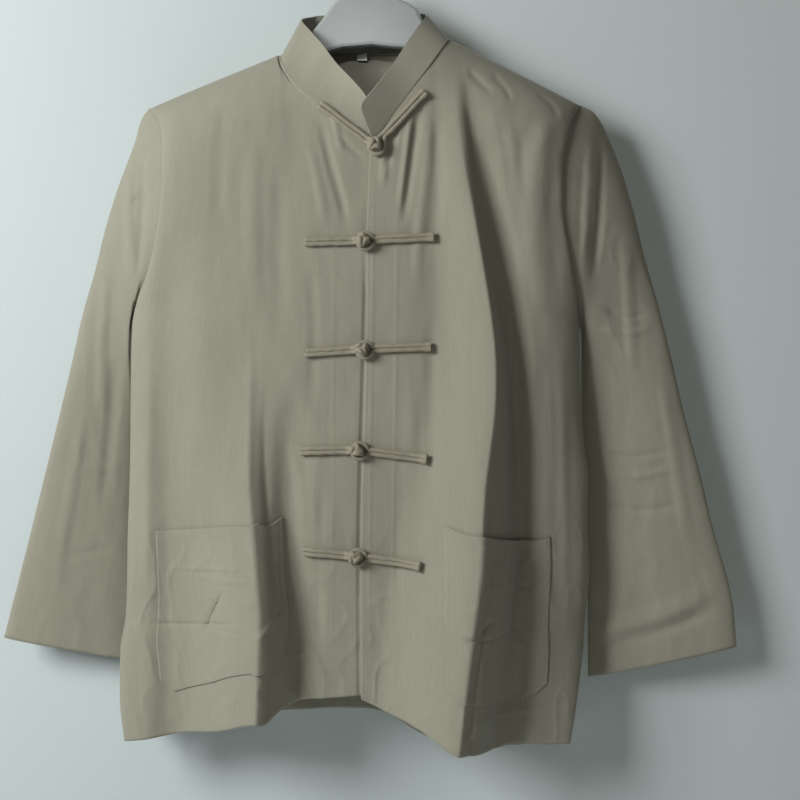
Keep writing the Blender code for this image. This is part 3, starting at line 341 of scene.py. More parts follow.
# Finer creases of the fronts.  columns: rise, width towards the left or below, width towards the
# right or above, points x, z from the top down or from the left
FRONT_CREASES = [
    (0.0016, 0.006, 0.007, [(-0.036, -0.214), (-0.031, -0.236), (-0.025, -0.262)]),
    (-0.0022, 0.008, 0.007, [(-0.048, -0.222), (-0.04, -0.262), (-0.026, -0.312), (-0.02, -0.345)]),
    (-0.0012, 0.005, 0.006, [(-0.033, -0.238), (-0.017, -0.254), (-0.002, -0.268)]),
    (0.0012, 0.008, 0.008, [(-0.06, -0.25), (-0.05, -0.3), (-0.042, -0.345)]),
    (0.0018, 0.008, 0.006, [(0.021, -0.237), (0.022, -0.262), (0.018, -0.3)]),
    (-0.0022, 0.006, 0.007, [(0.036, -0.222), (0.028, -0.252), (0.019, -0.284)]),
    (0.002, 0.007, 0.007, [(0.05, -0.212), (0.044, -0.262), (0.036, -0.33)]),
    (-0.0026, 0.007, 0.009, [(0.058, -0.206), (0.05, -0.262), (0.042, -0.325), (0.04, -0.345)]),
    (0.0018, 0.01, 0.01, [(0.07, -0.2), (0.066, -0.27), (0.058, -0.345), (0.055, -0.42)]),
    (-0.0014, 0.01, 0.012, [(0.078, -0.215), (0.078, -0.29), (0.072, -0.37)]),
    (-0.0022, 0.005, 0.006, [(0.11, -0.166), (0.124, -0.182), (0.14, -0.196)]),
    (-0.0018, 0.005, 0.005, [(0.136, -0.17), (0.15, -0.186), (0.16, -0.204)]),
    (-0.0016, 0.006, 0.006, [(0.186, -0.19), (0.202, -0.202), (0.212, -0.22)]),
    (0.0012, 0.01, 0.01, [(0.15, -0.215), (0.16, -0.26), (0.165, -0.33)]),
    (-0.001, 0.012, 0.012, [(-0.15, -0.19), (-0.158, -0.26), (-0.16, -0.35)]),
    (0.0012, 0.016, 0.014, [(-0.118, -0.23), (-0.122, -0.33), (-0.12, -0.45)]),
    (-0.001, 0.014, 0.014, [(-0.09, -0.26), (-0.094, -0.36), (-0.092, -0.48)]),
    (0.0004, 0.0024, 0.0024, [(0.0095, -0.262), (0.0075, -0.4), (0.005, -0.6), (0.0035, -0.84)]),
    (0.0004, 0.0026, 0.0026, [(0.034, -0.3), (0.033, -0.45), (0.03, -0.65), (0.029, -0.85)]),
    (0.0004, 0.0026, 0.0026, [(-0.033, -0.33), (-0.035, -0.47), (-0.036, -0.66), (-0.037, -0.835)]),
    (0.0008, 0.004, 0.005, [(-0.2, -0.716), (-0.15, -0.722), (-0.11, -0.72)]),
    (-0.0009, 0.004, 0.004, [(-0.19, -0.776), (-0.15, -0.774), (-0.115, -0.78)]),
    (0.001, 0.005, 0.005, [(0.11, -0.722), (0.15, -0.726), (0.19, -0.724)]),
    (-0.0012, 0.004, 0.005, [(0.095, -0.772), (0.13, -0.78), (0.175, -0.774)]),
    (0.0012, 0.004, 0.006, [(0.12, -0.866), (0.15, -0.868), (0.2, -0.864)]),
    (-0.0012, 0.009, 0.01, [(-0.06, -0.38), (-0.056, -0.45), (-0.06, -0.54)]),
    (0.0012, 0.01, 0.01, [(-0.08, -0.56), (-0.07, -0.64), (-0.064, -0.76)]),
    (-0.0012, 0.01, 0.01, [(-0.048, -0.6), (-0.05, -0.7), (-0.052, -0.83)]),
    (0.0011, 0.012, 0.012, [(0.052, -0.5), (0.048, -0.62), (0.044, -0.76)]),
    (-0.0012, 0.012, 0.012, [(0.07, -0.43), (0.072, -0.54), (0.066, -0.66)]),
    (-0.0014, 0.01, 0.012, [(0.188, -0.48), (0.192, -0.56), (0.196, -0.64)]),
    (0.0012, 0.01, 0.01, [(0.214, -0.48), (0.216, -0.6), (0.218, -0.78)]),
    (0.001, 0.012, 0.012, [(-0.236, -0.47), (-0.24, -0.6), (-0.242, -0.76)])]


# Sharp kinks on the big folds; most run on past the hem, so they keep their full height there.
FRONT_KINKS = [
    (0.0036, 0.026, 0.01, [(0.0952, -0.17), (0.1006, -0.2358), (0.1076, -0.283), (0.118, -0.34),
        (0.1347, -0.439), (0.1387, -0.491), (0.1374, -0.535), (0.1263, -0.622), (0.1204, -0.712),
        (0.1118, -0.779), (0.0981, -0.895), (0.06, -1.24)]),
    (-0.004, 0.012, 0.011, [(0.103, -0.1708), (0.1131, -0.2344), (0.123, -0.3087), (0.134, -0.3637),
        (0.1467, -0.438), (0.1606, -0.5297), (0.1694, -0.625), (0.1737, -0.673), (0.169, -0.74)]),
    (-0.0046, 0.01, 0.01, [(0.141, -0.6), (0.139, -0.66), (0.134, -0.7), (0.126, -0.75), (0.118, -0.8),
        (0.112, -0.86), (0.106, -0.92), (0.096, -1.1)]),
    (0.003, 0.01, 0.009, [(0.158, -0.64), (0.15, -0.69), (0.138, -0.76), (0.129, -0.83), (0.124, -0.9)]),
    (-0.0054, 0.014, 0.013, [(0.172, -0.64), (0.17, -0.6735), (0.157, -0.7785), (0.146, -0.8205),
        (0.139, -0.889), (0.126, -1.08)]),
    (0.003, 0.02, 0.009, [(-0.124, -0.42), (-0.124, -0.48), (-0.125, -0.56), (-0.125, -0.612),
        (-0.12, -0.669), (-0.115, -0.725), (-0.112, -0.765), (-0.1145, -0.87), (-0.116, -1.2)]),
    (-0.0032, 0.01, 0.014, [(-0.109, -0.48), (-0.11, -0.56), (-0.109, -0.612), (-0.104, -0.669),
        (-0.099, -0.725), (-0.096, -0.765), (-0.098, -0.87), (-0.1, -1.2)]),
    (-0.0021, 0.007, 0.004, [(-0.2583, -0.7652), (-0.2188, -0.7716), (-0.1762, -0.7695),
        (-0.1229, -0.7631)]),
    (0.0015, 0.004, 0.006, [(-0.2188, -0.7108), (-0.17, -0.709), (-0.1229, -0.7076)]),
    (-0.003, 0.007, 0.01, [(-0.1506, -0.7289), (-0.1655, -0.7588), (-0.1762, -0.7822)]),
    (0.0024, 0.008, 0.006, [(-0.1144, -0.7822), (-0.1016, -0.7662), (-0.0856, -0.7524)]),
    (0.0016, 0.014, 0.008, [(-0.088, -0.812), (-0.06, -0.8), (-0.044, -0.835)]),
    (-0.0026, 0.006, 0.008, [(0.106, -0.782), (0.122, -0.77), (0.136, -0.756)]),
    (-0.004, 0.004, 0.0012, [(0.0004, -0.3), (0.0, -0.354), (-0.001, -0.4725), (-0.0044, -0.5805),
        (-0.0067, -0.7), (-0.0064, -0.85), (-0.0064, -1.15)]),
    (0.0012, 0.005, 0.005, [(0.1, -0.884), (0.118, -0.872), (0.134, -0.858)])]


def spline(rows, t, key=0, value=1):
    """Smooth value of one column of a table at every t, read along its key column."""
    table = sorted(rows, key=lambda row: row[key])
    xs = np.array([row[key] for row in table], float)
    ys = np.array([row[value] for row in table], float)
    slopes = np.gradient(ys, xs)
    steps = np.diff(ys) / np.diff(xs)
    for i in range(1, len(xs) - 1):
        if steps[i - 1] * steps[i] <= 0:
            slopes[i] = 0.0
        else:
            limit = 2.5 * min(abs(steps[i - 1]), abs(steps[i]))
            slopes[i] = max(-limit, min(limit, slopes[i]))
    t = np.clip(t, xs[0], xs[-1])
    i = np.clip(np.searchsorted(xs, t) - 1, 0, len(xs) - 2)
    h = xs[i + 1] - xs[i]
    q = (t - xs[i]) / h
    return (ys[i] * (1 + 2 * q) * (1 - q) ** 2 + slopes[i] * h * q * (1 - q) ** 2
            + ys[i + 1] * q * q * (3 - 2 * q) + slopes[i + 1] * h * q * q * (q - 1))


def smooth(a, b, t):
    q = np.clip((t - a) / (b - a), 0.0, 1.0)
    return q * q * (3 - 2 * q)


def fold_height(folds, x, z):
    total = np.zeros(np.broadcast(x, z).shape)
    for rows in folds.values():
        middle, rise, on_left, on_right = (spline(rows, z, 0, k) for k in (1, 2, 3, 4))
        q = np.abs(x - middle) / np.where(x < middle, on_left, on_right)
        inside = (q < 1) & (z > rows[-1][0] - 0.03) & (z < rows[0][0])
        total += np.where(inside, rise * np.cos(0.5 * math.pi * np.minimum(q, 1)) ** 2, 0.0)
    return total


def crease_height(table, x, z, sharp=False):
    """Height of the finer creases: each is a line that fades at its two ends, soft or with a kink."""
    total = np.zeros(np.broadcast(x, z).shape)
    for rise, before, after, points in table:
        route = np.array(points, float)
        if len(route) > 2:
            share = np.linspace(0, 1, len(route))
            fine = np.linspace(0, 1, 4 * len(route))
            route = np.stack([spline(list(zip(share, route[:, k])), fine) for k in (0, 1)], axis=1)
        length = np.concatenate([[0], np.cumsum(np.linalg.norm(np.diff(route, axis=0), axis=1))])
        near = np.full(total.shape, 1e9)
        side = np.zeros(total.shape)
        along = np.zeros(total.shape)
        for (x0, z0), (x1, z1), start, end in zip(route[:-1], route[1:], length[:-1], length[1:]):
            dx, dz = x1 - x0, z1 - z0
            q = np.clip(((x - x0) * dx + (z - z0) * dz) / (dx * dx + dz * dz), 0, 1)
            away = np.hypot(x - x0 - q * dx, z - z0 - q * dz)
            closer = away < near
            near = np.where(closer, away, near)
            side = np.where(closer, dx * (z - z0) - dz * (x - x0), side)
            along = np.where(closer, (start + q * (end - start)) / length[-1], along)
        q = np.minimum(near / np.where(side < 0, before, after), 1)
        fade = smooth(0, 0.22, along) * smooth(0, 0.3, 1 - along)
        total += rise * fade * ((1 - q) ** 2 if sharp else np.cos(0.5 * math.pi * q) ** 2)
    return total


BUCKLE_HIGH = 0.0017
RIPPLE_HIGH = 0.0004
CRUMPLE_HIGH = 0.0032


def wrinkle(x, y, z, seed, crumpled):
    """Low, uneven buckling, and sharper crumples where crumpled is near 1."""
    out = np.zeros(x.size)
    weight = np.broadcast_to(crumpled, x.shape).ravel()
    for k, (a, b, c, w) in enumerate(zip(x.ravel(), y.ravel(), z.ravel(), weight)):
        broad = noise.noise(Vector((a * 20 + seed, b * 10, c * 8)))
        fine = noise.noise(Vector((a * 70 + seed, b * 40, c * 34 + 5)))
        out[k] = BUCKLE_HIGH * broad + RIPPLE_HIGH * fine
        if w > 0.02:
            bend = noise.noise(Vector((a * 34 + seed, c * 27, 3.0 + broad)))
            patch = 0.5 + 0.5 * noise.noise(Vector((a * 13, c * 13, seed)))
            out[k] += w * patch * CRUMPLE_HIGH * (1 - min(1.0, abs(bend) * 3.2)) ** 2
    return out.reshape(x.shape)


def shoulder_z(x):
    left = -0.1422 + (x + 0.0985) * (0.2005 - 0.1422) / (0.243 - 0.0985)
    right = -0.1254 - (x - 0.0941) * (0.1971 - 0.1254) / (0.2386 - 0.0941)
    return np.minimum(left, right)


def roll(x, z):
    t = np.clip((shoulder_z(x) - z) / SHOULDER_ROLL, 0.0, 1.0)
    return (1 - (1 - t) ** 2.2) ** (1 / 2.2)


def front_y(x, z, s, edge_y):
    free = spline(DEPTH, z, 0, 1) * roll(x, z)
    curve = (1 - np.minimum(s, 1.0) ** 3) ** (1 / 3)
    depth = np.minimum(edge_y, free) + np.maximum(free - edge_y, 0.0) * curve
    fade = smooth(0, 0.12, 1 - s) * smooth(0.0, 0.05, shoulder_z(x) - z)
    return -(depth + fold_height(FRONT_FOLDS, x, z) * fade + 0.5 * GAP)


def front_point(side, u, v):
    """Points of a front's outer face, u across from the opening and v down from the top."""
    left = side == "left"
    edge, neck, hem = (LEFT_EDGE, LEFT_NECK, LEFT_HEM) if left else (RIGHT_EDGE, RIGHT_NECK, RIGHT_HEM)
    lap = LAP if left else 0.0
    top_in, top_out = 0.0068 + lap, edge[0][1]
    low_in, low_out = -0.005 + lap, edge[-1][1]
    z_in = OPENING[0][0] + v * (hem[-1 if left else 0][1] - OPENING[0][0])
    z_out = edge[0][0] + v * (edge[-1][0] - edge[0][0])
    x_in = spline(OPENING, z_in) + lap
    x_out = spline(edge, z_out)
    x_top = top_in + u * (top_out - top_in)
    x_low = low_in + u * (low_out - low_in)
    beyond = x_top < neck[0][0] if left else x_top > neck[0][0]
    z_top = np.where(beyond, shoulder_z(x_top), spline(neck, x_top))
    z_low = spline(hem, x_low)
    corners_x = (1 - u) * ((1 - v) * top_in + v * low_in) + u * ((1 - v) * top_out + v * low_out)
    z00, z10 = spline(neck, top_in), edge[0][0]
    z01, z11 = spline(hem, low_in), spline(hem, low_out)
    corners_z = (1 - u) * ((1 - v) * z00 + v * z01) + u * ((1 - v) * z10 + v * z11)
    x = (1 - v) * x_top + v * x_low + (1 - u) * x_in + u * x_out - corners_x
    z_side = (1 - u) * (z00 + v * (z01 - z00)) + u * z_out
    z = (1 - v) * z_top + v * z_low + z_side - corners_z
    y = front_y(x, z, u, -spline(edge, z_out, 0, 2))
    if not left:
        y = y - LAP_RISE * (1 - smooth(0.03, 0.09, x))
    return np.stack([x, y, z], axis=-1)


def front_detail(side, grid, u):
    """Adds the finer creases and the slight buckling to a front's smooth form."""
    x, y, z = (grid[..., k] for k in range(3))
    fade = smooth(0, 0.05, 1 - u) * smooth(0.0, 0.03, shoulder_z(x) - z)
    raised = crease_height(FRONT_CREASES, x, z) + crease_height(FRONT_KINKS, x, z, True)
    raised += wrinkle(x, y, z, 3.0 if side == "left" else 9.0, 0.08 + 0.52 * smooth(0.62, 0.74, -z))
    made = grid.copy()
    made[..., 1] = y - raised * fade
    return made


def ease(count, start, end, power=1.0):
    """Shares from start to end, closer together near the end when power is over 1."""
    t = np.linspace(0, 1, count)
    return start + (end - start) * (1 - (1 - t) ** power)


PANEL_ROWS = np.concatenate([ease(14, 0.024, 0, 2.0)[::-1][:-1], np.linspace(0.024, UNDERARM, 70)[:-1],
                             np.linspace(UNDERARM, 1, 170)])
LEFT_TURN = 0.448      # share of the width at which the neckline meets the shoulder seam
RIGHT_TURN = 0.3766
left_u = np.concatenate([np.linspace(0, LEFT_TURN, 62)[:-1], ease(92, LEFT_TURN, 1, 1.5)])
right_u = np.concatenate([np.linspace(0, RIGHT_TURN, 60)[:-1], ease(112, RIGHT_TURN, 1, 1.3)])
fronts = {}
for side, us in (("left", left_u), ("right", right_u)):
    u, v = np.meshgrid(us, PANEL_ROWS)
    fronts[side] = front_detail(side, front_point(side, u, v), u)
    piece = cloth_piece(f"front_{side}_cloth", fronts[side], cotton, turn=side == "right")
    stand_for(piece, f"front_{side}")


# Back
# One panel without a centre seam, cut straight and hung from the hanger's arms.
BACK_NECK = [(-0.0985, -0.1422), (-0.09, -0.1401), (-0.0767, -0.1368), (-0.055, -0.1335),
             (-0.003, -0.1312), (0.05, -0.13), (0.0711, -0.1288), (0.086, -0.127), (0.0941, -0.1254)]
BACK_HEM = [(-0.2665, -0.9011), (-0.18, -0.89), (-0.0773, -0.8785), (-0.0064, -0.8796),
            (0.0164, -0.8831), (0.0829, -0.918), (0.15, -0.919), (0.224, -0.906)]
BACK_FOLDS = {
    "left drape": [(-0.3, -0.15, 0.0, 0.05, 0.05), (-0.55, -0.16, 0.007, 0.06, 0.055),
        (-0.9, -0.17, 0.012, 0.07, 0.06)],
    "left valley": [(-0.35, -0.075, 0.0, 0.04, 0.04), (-0.6, -0.078, -0.007, 0.045, 0.045),
        (-0.9, -0.082, -0.012, 0.05, 0.05)],
    "right drape": [(-0.28, 0.11, 0.0, 0.05, 0.05), (-0.55, 0.1, 0.008, 0.055, 0.06),
        (-0.9, 0.09, 0.013, 0.06, 0.065)],
    "right valley": [(-0.4, 0.175, 0.0, 0.04, 0.035), (-0.9, 0.18, -0.009, 0.045, 0.04)]}
BACK_CREASES = [
    (0.0014, 0.01, 0.012, [(-0.19, -0.24), (-0.18, -0.32), (-0.15, -0.4)]),
    (-0.0014, 0.01, 0.01, [(-0.16, -0.22), (-0.15, -0.3), (-0.12, -0.37)]),
    (0.0014, 0.011, 0.01, [(0.185, -0.235), (0.172, -0.32), (0.15, -0.41)]),
    (-0.0013, 0.01, 0.01, [(0.15, -0.22), (0.145, -0.3), (0.12, -0.38)]),
    (0.001, 0.012, 0.012, [(0.01, -0.26), (0.004, -0.42), (0.01, -0.6)]),
    (-0.001, 0.016, 0.014, [(0.036, -0.38), (0.04, -0.56), (0.034, -0.76)]),
    (0.0012, 0.004, 0.005, [(-0.18, -0.56), (-0.09, -0.566), (0.01, -0.56)]),
    (-0.001, 0.005, 0.004, [(0.02, -0.562), (0.1, -0.558), (0.19, -0.566)]),
    (0.001, 0.005, 0.004, [(-0.15, -0.384), (-0.04, -0.38), (0.06, -0.386)]),
    (-0.0014, 0.01, 0.012, [(-0.12, -0.64), (-0.128, -0.74), (-0.124, -0.85)]),
    (0.0012, 0.01, 0.012, [(0.13, -0.65), (0.138, -0.76), (0.134, -0.87)])]


def back_point(u, v):
    q = (u + 1) / 2
    z_left = LEFT_EDGE[0][0] + v * (LEFT_EDGE[-1][0] - LEFT_EDGE[0][0])
    z_right = RIGHT_EDGE[0][0] + v * (RIGHT_EDGE[-1][0] - RIGHT_EDGE[0][0])
    x = (1 - q) * spline(LEFT_EDGE, z_left) + q * spline(RIGHT_EDGE, z_right)
    x_top = (1 - q) * LEFT_EDGE[0][1] + q * RIGHT_EDGE[0][1]
    x_low = (1 - q) * LEFT_EDGE[-1][1] + q * RIGHT_EDGE[-1][1]
    inside = (LEFT_NECK[0][0] < x_top) & (x_top < RIGHT_NECK[0][0])
    z_top = np.where(inside, spline(BACK_NECK, x_top), shoulder_z(x_top))
    z_low = spline(BACK_HEM, x_low)
    corners = (1 - q) * ((1 - v) * LEFT_EDGE[0][0] + v * BACK_HEM[0][1]) \
        + q * ((1 - v) * RIGHT_EDGE[0][0] + v * BACK_HEM[-1][1])
    z_out = RIGHT_EDGE[0][0] + v * (BACK_HEM[-1][1] - RIGHT_EDGE[0][0])
    z = (1 - v) * z_top + v * z_low + (1 - q) * z_left + q * z_out - corners
    edge_y = np.where(u < 0, spline(LEFT_EDGE, z_left, 0, 3), spline(RIGHT_EDGE, z_right, 0, 3))
    return np.stack([x, back_y(x, z, np.abs(u), edge_y), z], axis=-1)


def back_y(x, z, s, edge_y):
    free = spline(DEPTH, z, 0, 2) * roll(x, z)
    curve = (1 - np.minimum(s, 1.0) ** 2.4) ** (1 / 2.4)
    depth = np.minimum(edge_y, free) + np.maximum(free - edge_y, 0.0) * curve
    fade = smooth(0, 0.12, 1 - s) * smooth(0.0, 0.05, shoulder_z(x) - z)
    return depth + fold_height(BACK_FOLDS, x, z) * fade + 0.5 * GAP


span = RIGHT_EDGE[0][1] - LEFT_EDGE[0][1]
neck_left_u = 2 * (LEFT_NECK[0][0] - LEFT_EDGE[0][1]) / span - 1
neck_right_u = 2 * (RIGHT_NECK[0][0] - LEFT_EDGE[0][1]) / span - 1
back_u = np.concatenate([-ease(46, -neck_left_u, 1, 1.5)[::-1],
                         np.linspace(neck_left_u, neck_right_u, 60)[1:-1],
                         ease(46, neck_right_u, 1, 1.5)])
u, v = np.meshgrid(back_u, PANEL_ROWS)
back = back_point(u, v)
fade = smooth(0, 0.05, 1 - np.abs(u)) * smooth(0.0, 0.03, shoulder_z(back[..., 0]) - back[..., 2])
back[..., 1] += fade * (crease_height(BACK_CREASES, back[..., 0], back[..., 2])
                        + wrinkle(back[..., 0], back[..., 1], back[..., 2], 21.0, 0.4))
piece = cloth_piece("back_cloth", back, cotton)
stand_for(piece, "back")


# Sleeves
# Each sleeve is one piece sewn into a tube and set into the armhole, and it hangs nearly flat.
# The seam allowance is pressed towards the body, and the cuff has a deep turned hem.
SLEEVE_CLEAR = 0.003
SEAM_TUCK = 0.004      # cloth of the sleeve that runs on below the edge of the body
LEFT_SLEEVE_OUTER = [
    (-0.2433, 0.0, -0.2005), (-0.2492, 0.003, -0.2065), (-0.2614, 0.007, -0.2392),
    (-0.2788, 0.01, -0.2839), (-0.2934, 0.01, -0.3313), (-0.307, 0.01, -0.3854), (-0.3194, 0.01, -0.4283),
    (-0.3306, 0.01, -0.4779), (-0.3476, 0.01, -0.549), (-0.378, 0.01, -0.673), (-0.4085, 0.01, -0.7937)]
LEFT_SLEEVE_INNER = [
    (-0.2617, 0.0, -0.4422), (-0.2665, 0.003, -0.453), (-0.2665, 0.013, -0.49),
    (-0.2625, 0.024, -0.53), (-0.255, 0.037, -0.6182), (-0.2503, 0.039, -0.7103),
    (-0.2446, 0.039, -0.8275)]
RIGHT_SLEEVE_OUTER = [
    (0.2389, 0.0, -0.1971), (0.2528, 0.004, -0.203), (0.2682, 0.009, -0.2242), (0.2795, 0.01, -0.2501),
    (0.2986, 0.01, -0.3099), (0.3122, 0.01, -0.3663), (0.328, 0.01, -0.4215), (0.3404, 0.01, -0.4711),
    (0.3584, 0.01, -0.549), (0.3731, 0.01, -0.6031), (0.3888, 0.01, -0.6696), (0.4103, 0.01, -0.7497),
    (0.4159, 0.01, -0.8038)]
RIGHT_SLEEVE_INNER = [
    (0.2362, 0.0, -0.4405), (0.2415, 0.003, -0.452), (0.243, 0.014, -0.49),
    (0.244, 0.021, -0.53), (0.2465, 0.025, -0.5799), (0.249, 0.027, -0.6404),
    (0.2515, 0.029, -0.7193), (0.2525, 0.029, -0.7787), (0.2525, 0.029, -0.8415)]
SLEEVE_HALF_DEPTH = [(0.0, 0.03), (0.15, 0.027), (0.35, 0.019), (0.6, 0.014), (1.0, 0.013)]
SLEEVE_CREASES = {
    "left": [(0.0022, 0.01, 0.009, [(-0.262, -0.24), (-0.264, -0.3), (-0.258, -0.4)]),
        (-0.0024, 0.009, 0.008, [(-0.246, -0.25), (-0.246, -0.31), (-0.25, -0.4)]),
        (-0.0026, 0.004, 0.006, [(-0.262, -0.308), (-0.25, -0.303), (-0.236, -0.312)]),
        (0.0016, 0.01, 0.01, [(-0.29, -0.38), (-0.296, -0.46), (-0.3, -0.56)]),
        (-0.0016, 0.01, 0.012, [(-0.28, -0.47), (-0.29, -0.56), (-0.3, -0.66)]),
        (0.0014, 0.012, 0.01, [(-0.318, -0.54), (-0.334, -0.64), (-0.352, -0.74)]),
        (-0.0012, 0.005, 0.006, [(-0.372, -0.69), (-0.33, -0.7), (-0.28, -0.69)]),
        (0.0012, 0.006, 0.005, [(-0.35, -0.6), (-0.31, -0.606), (-0.272, -0.6)])],
    "right": [(0.003, 0.008, 0.012, [(0.248, -0.215), (0.243, -0.29), (0.236, -0.41)]),
        (-0.0024, 0.006, 0.008, [(0.262, -0.23), (0.258, -0.3), (0.25, -0.4)]),
        (-0.0024, 0.004, 0.005, [(0.238, -0.202), (0.246, -0.214), (0.252, -0.228)]),
        (0.0016, 0.01, 0.012, [(0.286, -0.33), (0.292, -0.42), (0.3, -0.52)]),
        (-0.0016, 0.005, 0.006, [(0.262, -0.424), (0.29, -0.434), (0.318, -0.43)]),
        (0.0016, 0.006, 0.005, [(0.256, -0.446), (0.292, -0.452), (0.324, -0.444)]),
        (-0.0016, 0.005, 0.006, [(0.262, -0.584), (0.3, -0.59), (0.35, -0.58)]),
        (0.0018, 0.007, 0.006, [(0.262, -0.604), (0.3, -0.612), (0.356, -0.6)]),
        (-0.0018, 0.006, 0.006, [(0.256, -0.64), (0.31, -0.65), (0.366, -0.64)]),
        (0.004, 0.01, 0.02, [(0.25, -0.792), (0.33, -0.77), (0.402, -0.738)]),
        (-0.003, 0.01, 0.008, [(0.252, -0.808), (0.332, -0.786), (0.404, -0.756)]),
        (0.0016, 0.01, 0.012, [(0.33, -0.5), (0.346, -0.6), (0.362, -0.7)])]}


def along_edge(rows, v):
    rows = np.array(rows)
    length = np.concatenate([[0], np.cumsum(np.linalg.norm(np.diff(rows, axis=0), axis=1))])
    table = [(length[i] / length[-1], *rows[i]) for i in range(len(rows))]
    return np.stack([spline(table, v, 0, k) for k in (1, 2, 3)], axis=-1)


def clear_of_body(side, points, space):
    """Moves points of a sleeve outwards where they would come into the body."""
    edge = LEFT_EDGE if side == "left" else RIGHT_EDGE
    x, y, z = (points[..., k] for k in range(3))
    made = points.copy()
    for ahead, column, power in ((True, 1, 3.0), (False, 2, 2.4)):
        edge_y = np.abs(spline(edge, z, 0, column + 1))
        free = spline(DEPTH, z, 0, column)
        beyond = np.clip((np.abs(y) - edge_y) / np.maximum(free - edge_y, 1e-6), 0, 1)
        limit = np.abs(spline(edge, z)) * (1 - beyond ** power) ** (1 / power) + space
        taken = ((y < 0) == ahead) & (beyond < 1) & (np.abs(x) < limit)
        made[..., 0] = np.where(taken, math.copysign(1, edge[0][1]) * limit, made[..., 0])
    return made


def sleeve_grid(side, front_edge, back_edge, rows):
    left = side == "left"
    outer = LEFT_SLEEVE_OUTER if left else RIGHT_SLEEVE_OUTER
    inner = LEFT_SLEEVE_INNER if left else RIGHT_SLEEVE_INNER
    under = int(np.argmin(np.abs(PANEL_ROWS - UNDERARM)))
    take = [0] + list(range(3, under + 1))
    hole = np.concatenate([front_edge[take], back_edge[take[-2:0:-1]]])
    hole[:, 0] += (-1 if left else 1) * GAP
    hole[0, 1] = hole[len(take) - 1, 1] = 0.0
    top, low = hole[0, 2], hole[len(take) - 1, 2]
    angles = np.arccos(np.clip(1 - 2 * (top - hole[:, 2]) / (top - low), -1, 1))
    angles[len(take):] = 2 * math.pi - angles[len(take):]

    def rings(v):
        o, n = along_edge(outer, v)[:, None], along_edge(inner, v)[:, None]
        half = spline(SLEEVE_HALF_DEPTH, v)
        made = (o + n) / 2 + (o - n) / 2 * np.cos(angles)[None, :, None]
        made[..., 1] -= half[:, None] * np.sin(angles)
        return made

    pull = np.maximum(1 - rows / 0.3, 0) ** 2
    grid = rings(rows) + (hole - rings(np.zeros(1))[0])[None] * pull[:, None, None]
    space = SLEEVE_CLEAR * np.minimum(rows / 0.04, 1) + GAP
    moved = clear_of_body(side, grid, space[:, None])
    moved[0] = grid[0]
    return moved, angles


SLEEVE_ROWS = np.concatenate([np.linspace(0, 0.1, 22)[:-1], np.linspace(0.1, 1, 128)])
sleeves = {}
for side in ("left", "right"):
    edges = (fronts[side][:, -1], back[:, 0 if side == "left" else -1])
    grid, angles = sleeve_grid(side, *edges, SLEEVE_ROWS)
    x, y, z = (grid[..., k] for k in range(3))
    hold = smooth(0, 0.08, SLEEVE_ROWS)[:, None]
    flat = np.clip(np.abs(np.sin(angles)), 0, 1)[None] ** 0.7
    ahead = np.where(np.sin(angles) > 0, 1.0, -0.8)[None]
    raised = crease_height(SLEEVE_CREASES[side], x, z)
    raised = raised + wrinkle(x, y, z, 40.0 if side == "left" else 52.0, 0.22)
    grid[..., 1] -= hold * flat * ahead * raised
    tucked = grid[:1] + np.array((SEAM_TUCK if side == "left" else -SEAM_TUCK, 0, 0))
    grid = np.concatenate([tucked, grid])
    sleeves[side] = grid
    piece = cloth_piece(f"sleeve_{side}_cloth", grid, cotton, closed=True, turn=side == "right")
    stand_for(piece, f"sleeve_{side}")


# Collar
# A stand band of two layers, 45 mm high, sewn to the neckline.
# Its right front end laps over the left one, and both ends are rounded.
COLLAR_THICK = 0.0018
COLLAR_TUCK_IN = 0.0016      # the foot runs on a little way below the neckline
COLLAR_TUCK_DOWN = 0.003
# columns: part, x of the seam below, x, y, z of the top edge
COLLAR_TOP = [
    ("left front", 0.0068, 0.0059, -0.059, -0.2048), ("left front", -0.0225, -0.014, -0.053, -0.181),
    ("left front", -0.0498, -0.0318, -0.045, -0.1608), ("left front", -0.0745, -0.05, -0.034, -0.135),
    ("left front", -0.0874, -0.063, -0.02, -0.1175), ("back", -0.0985, -0.0757, -0.002, -0.1),
    ("back", -0.0767, -0.06, 0.029, -0.0885), ("back", -0.003, -0.0033, 0.039, -0.0845),
    ("back", 0.0711, 0.054, 0.029, -0.085), ("back", 0.0941, 0.069, -0.002, -0.0945),
    ("right front", 0.0858, 0.062, -0.023, -0.108), ("right front", 0.0721, 0.048, -0.044, -0.133),
    ("right front", 0.0533, 0.029, -0.06, -0.166), ("right front", 0.0338, 0.012, -0.07, -0.191),
    ("right front", 0.012, -0.006, -0.0735, -0.213)]


COLLAR_CORNER = 0.016
COLLAR_HIGH = 0.045


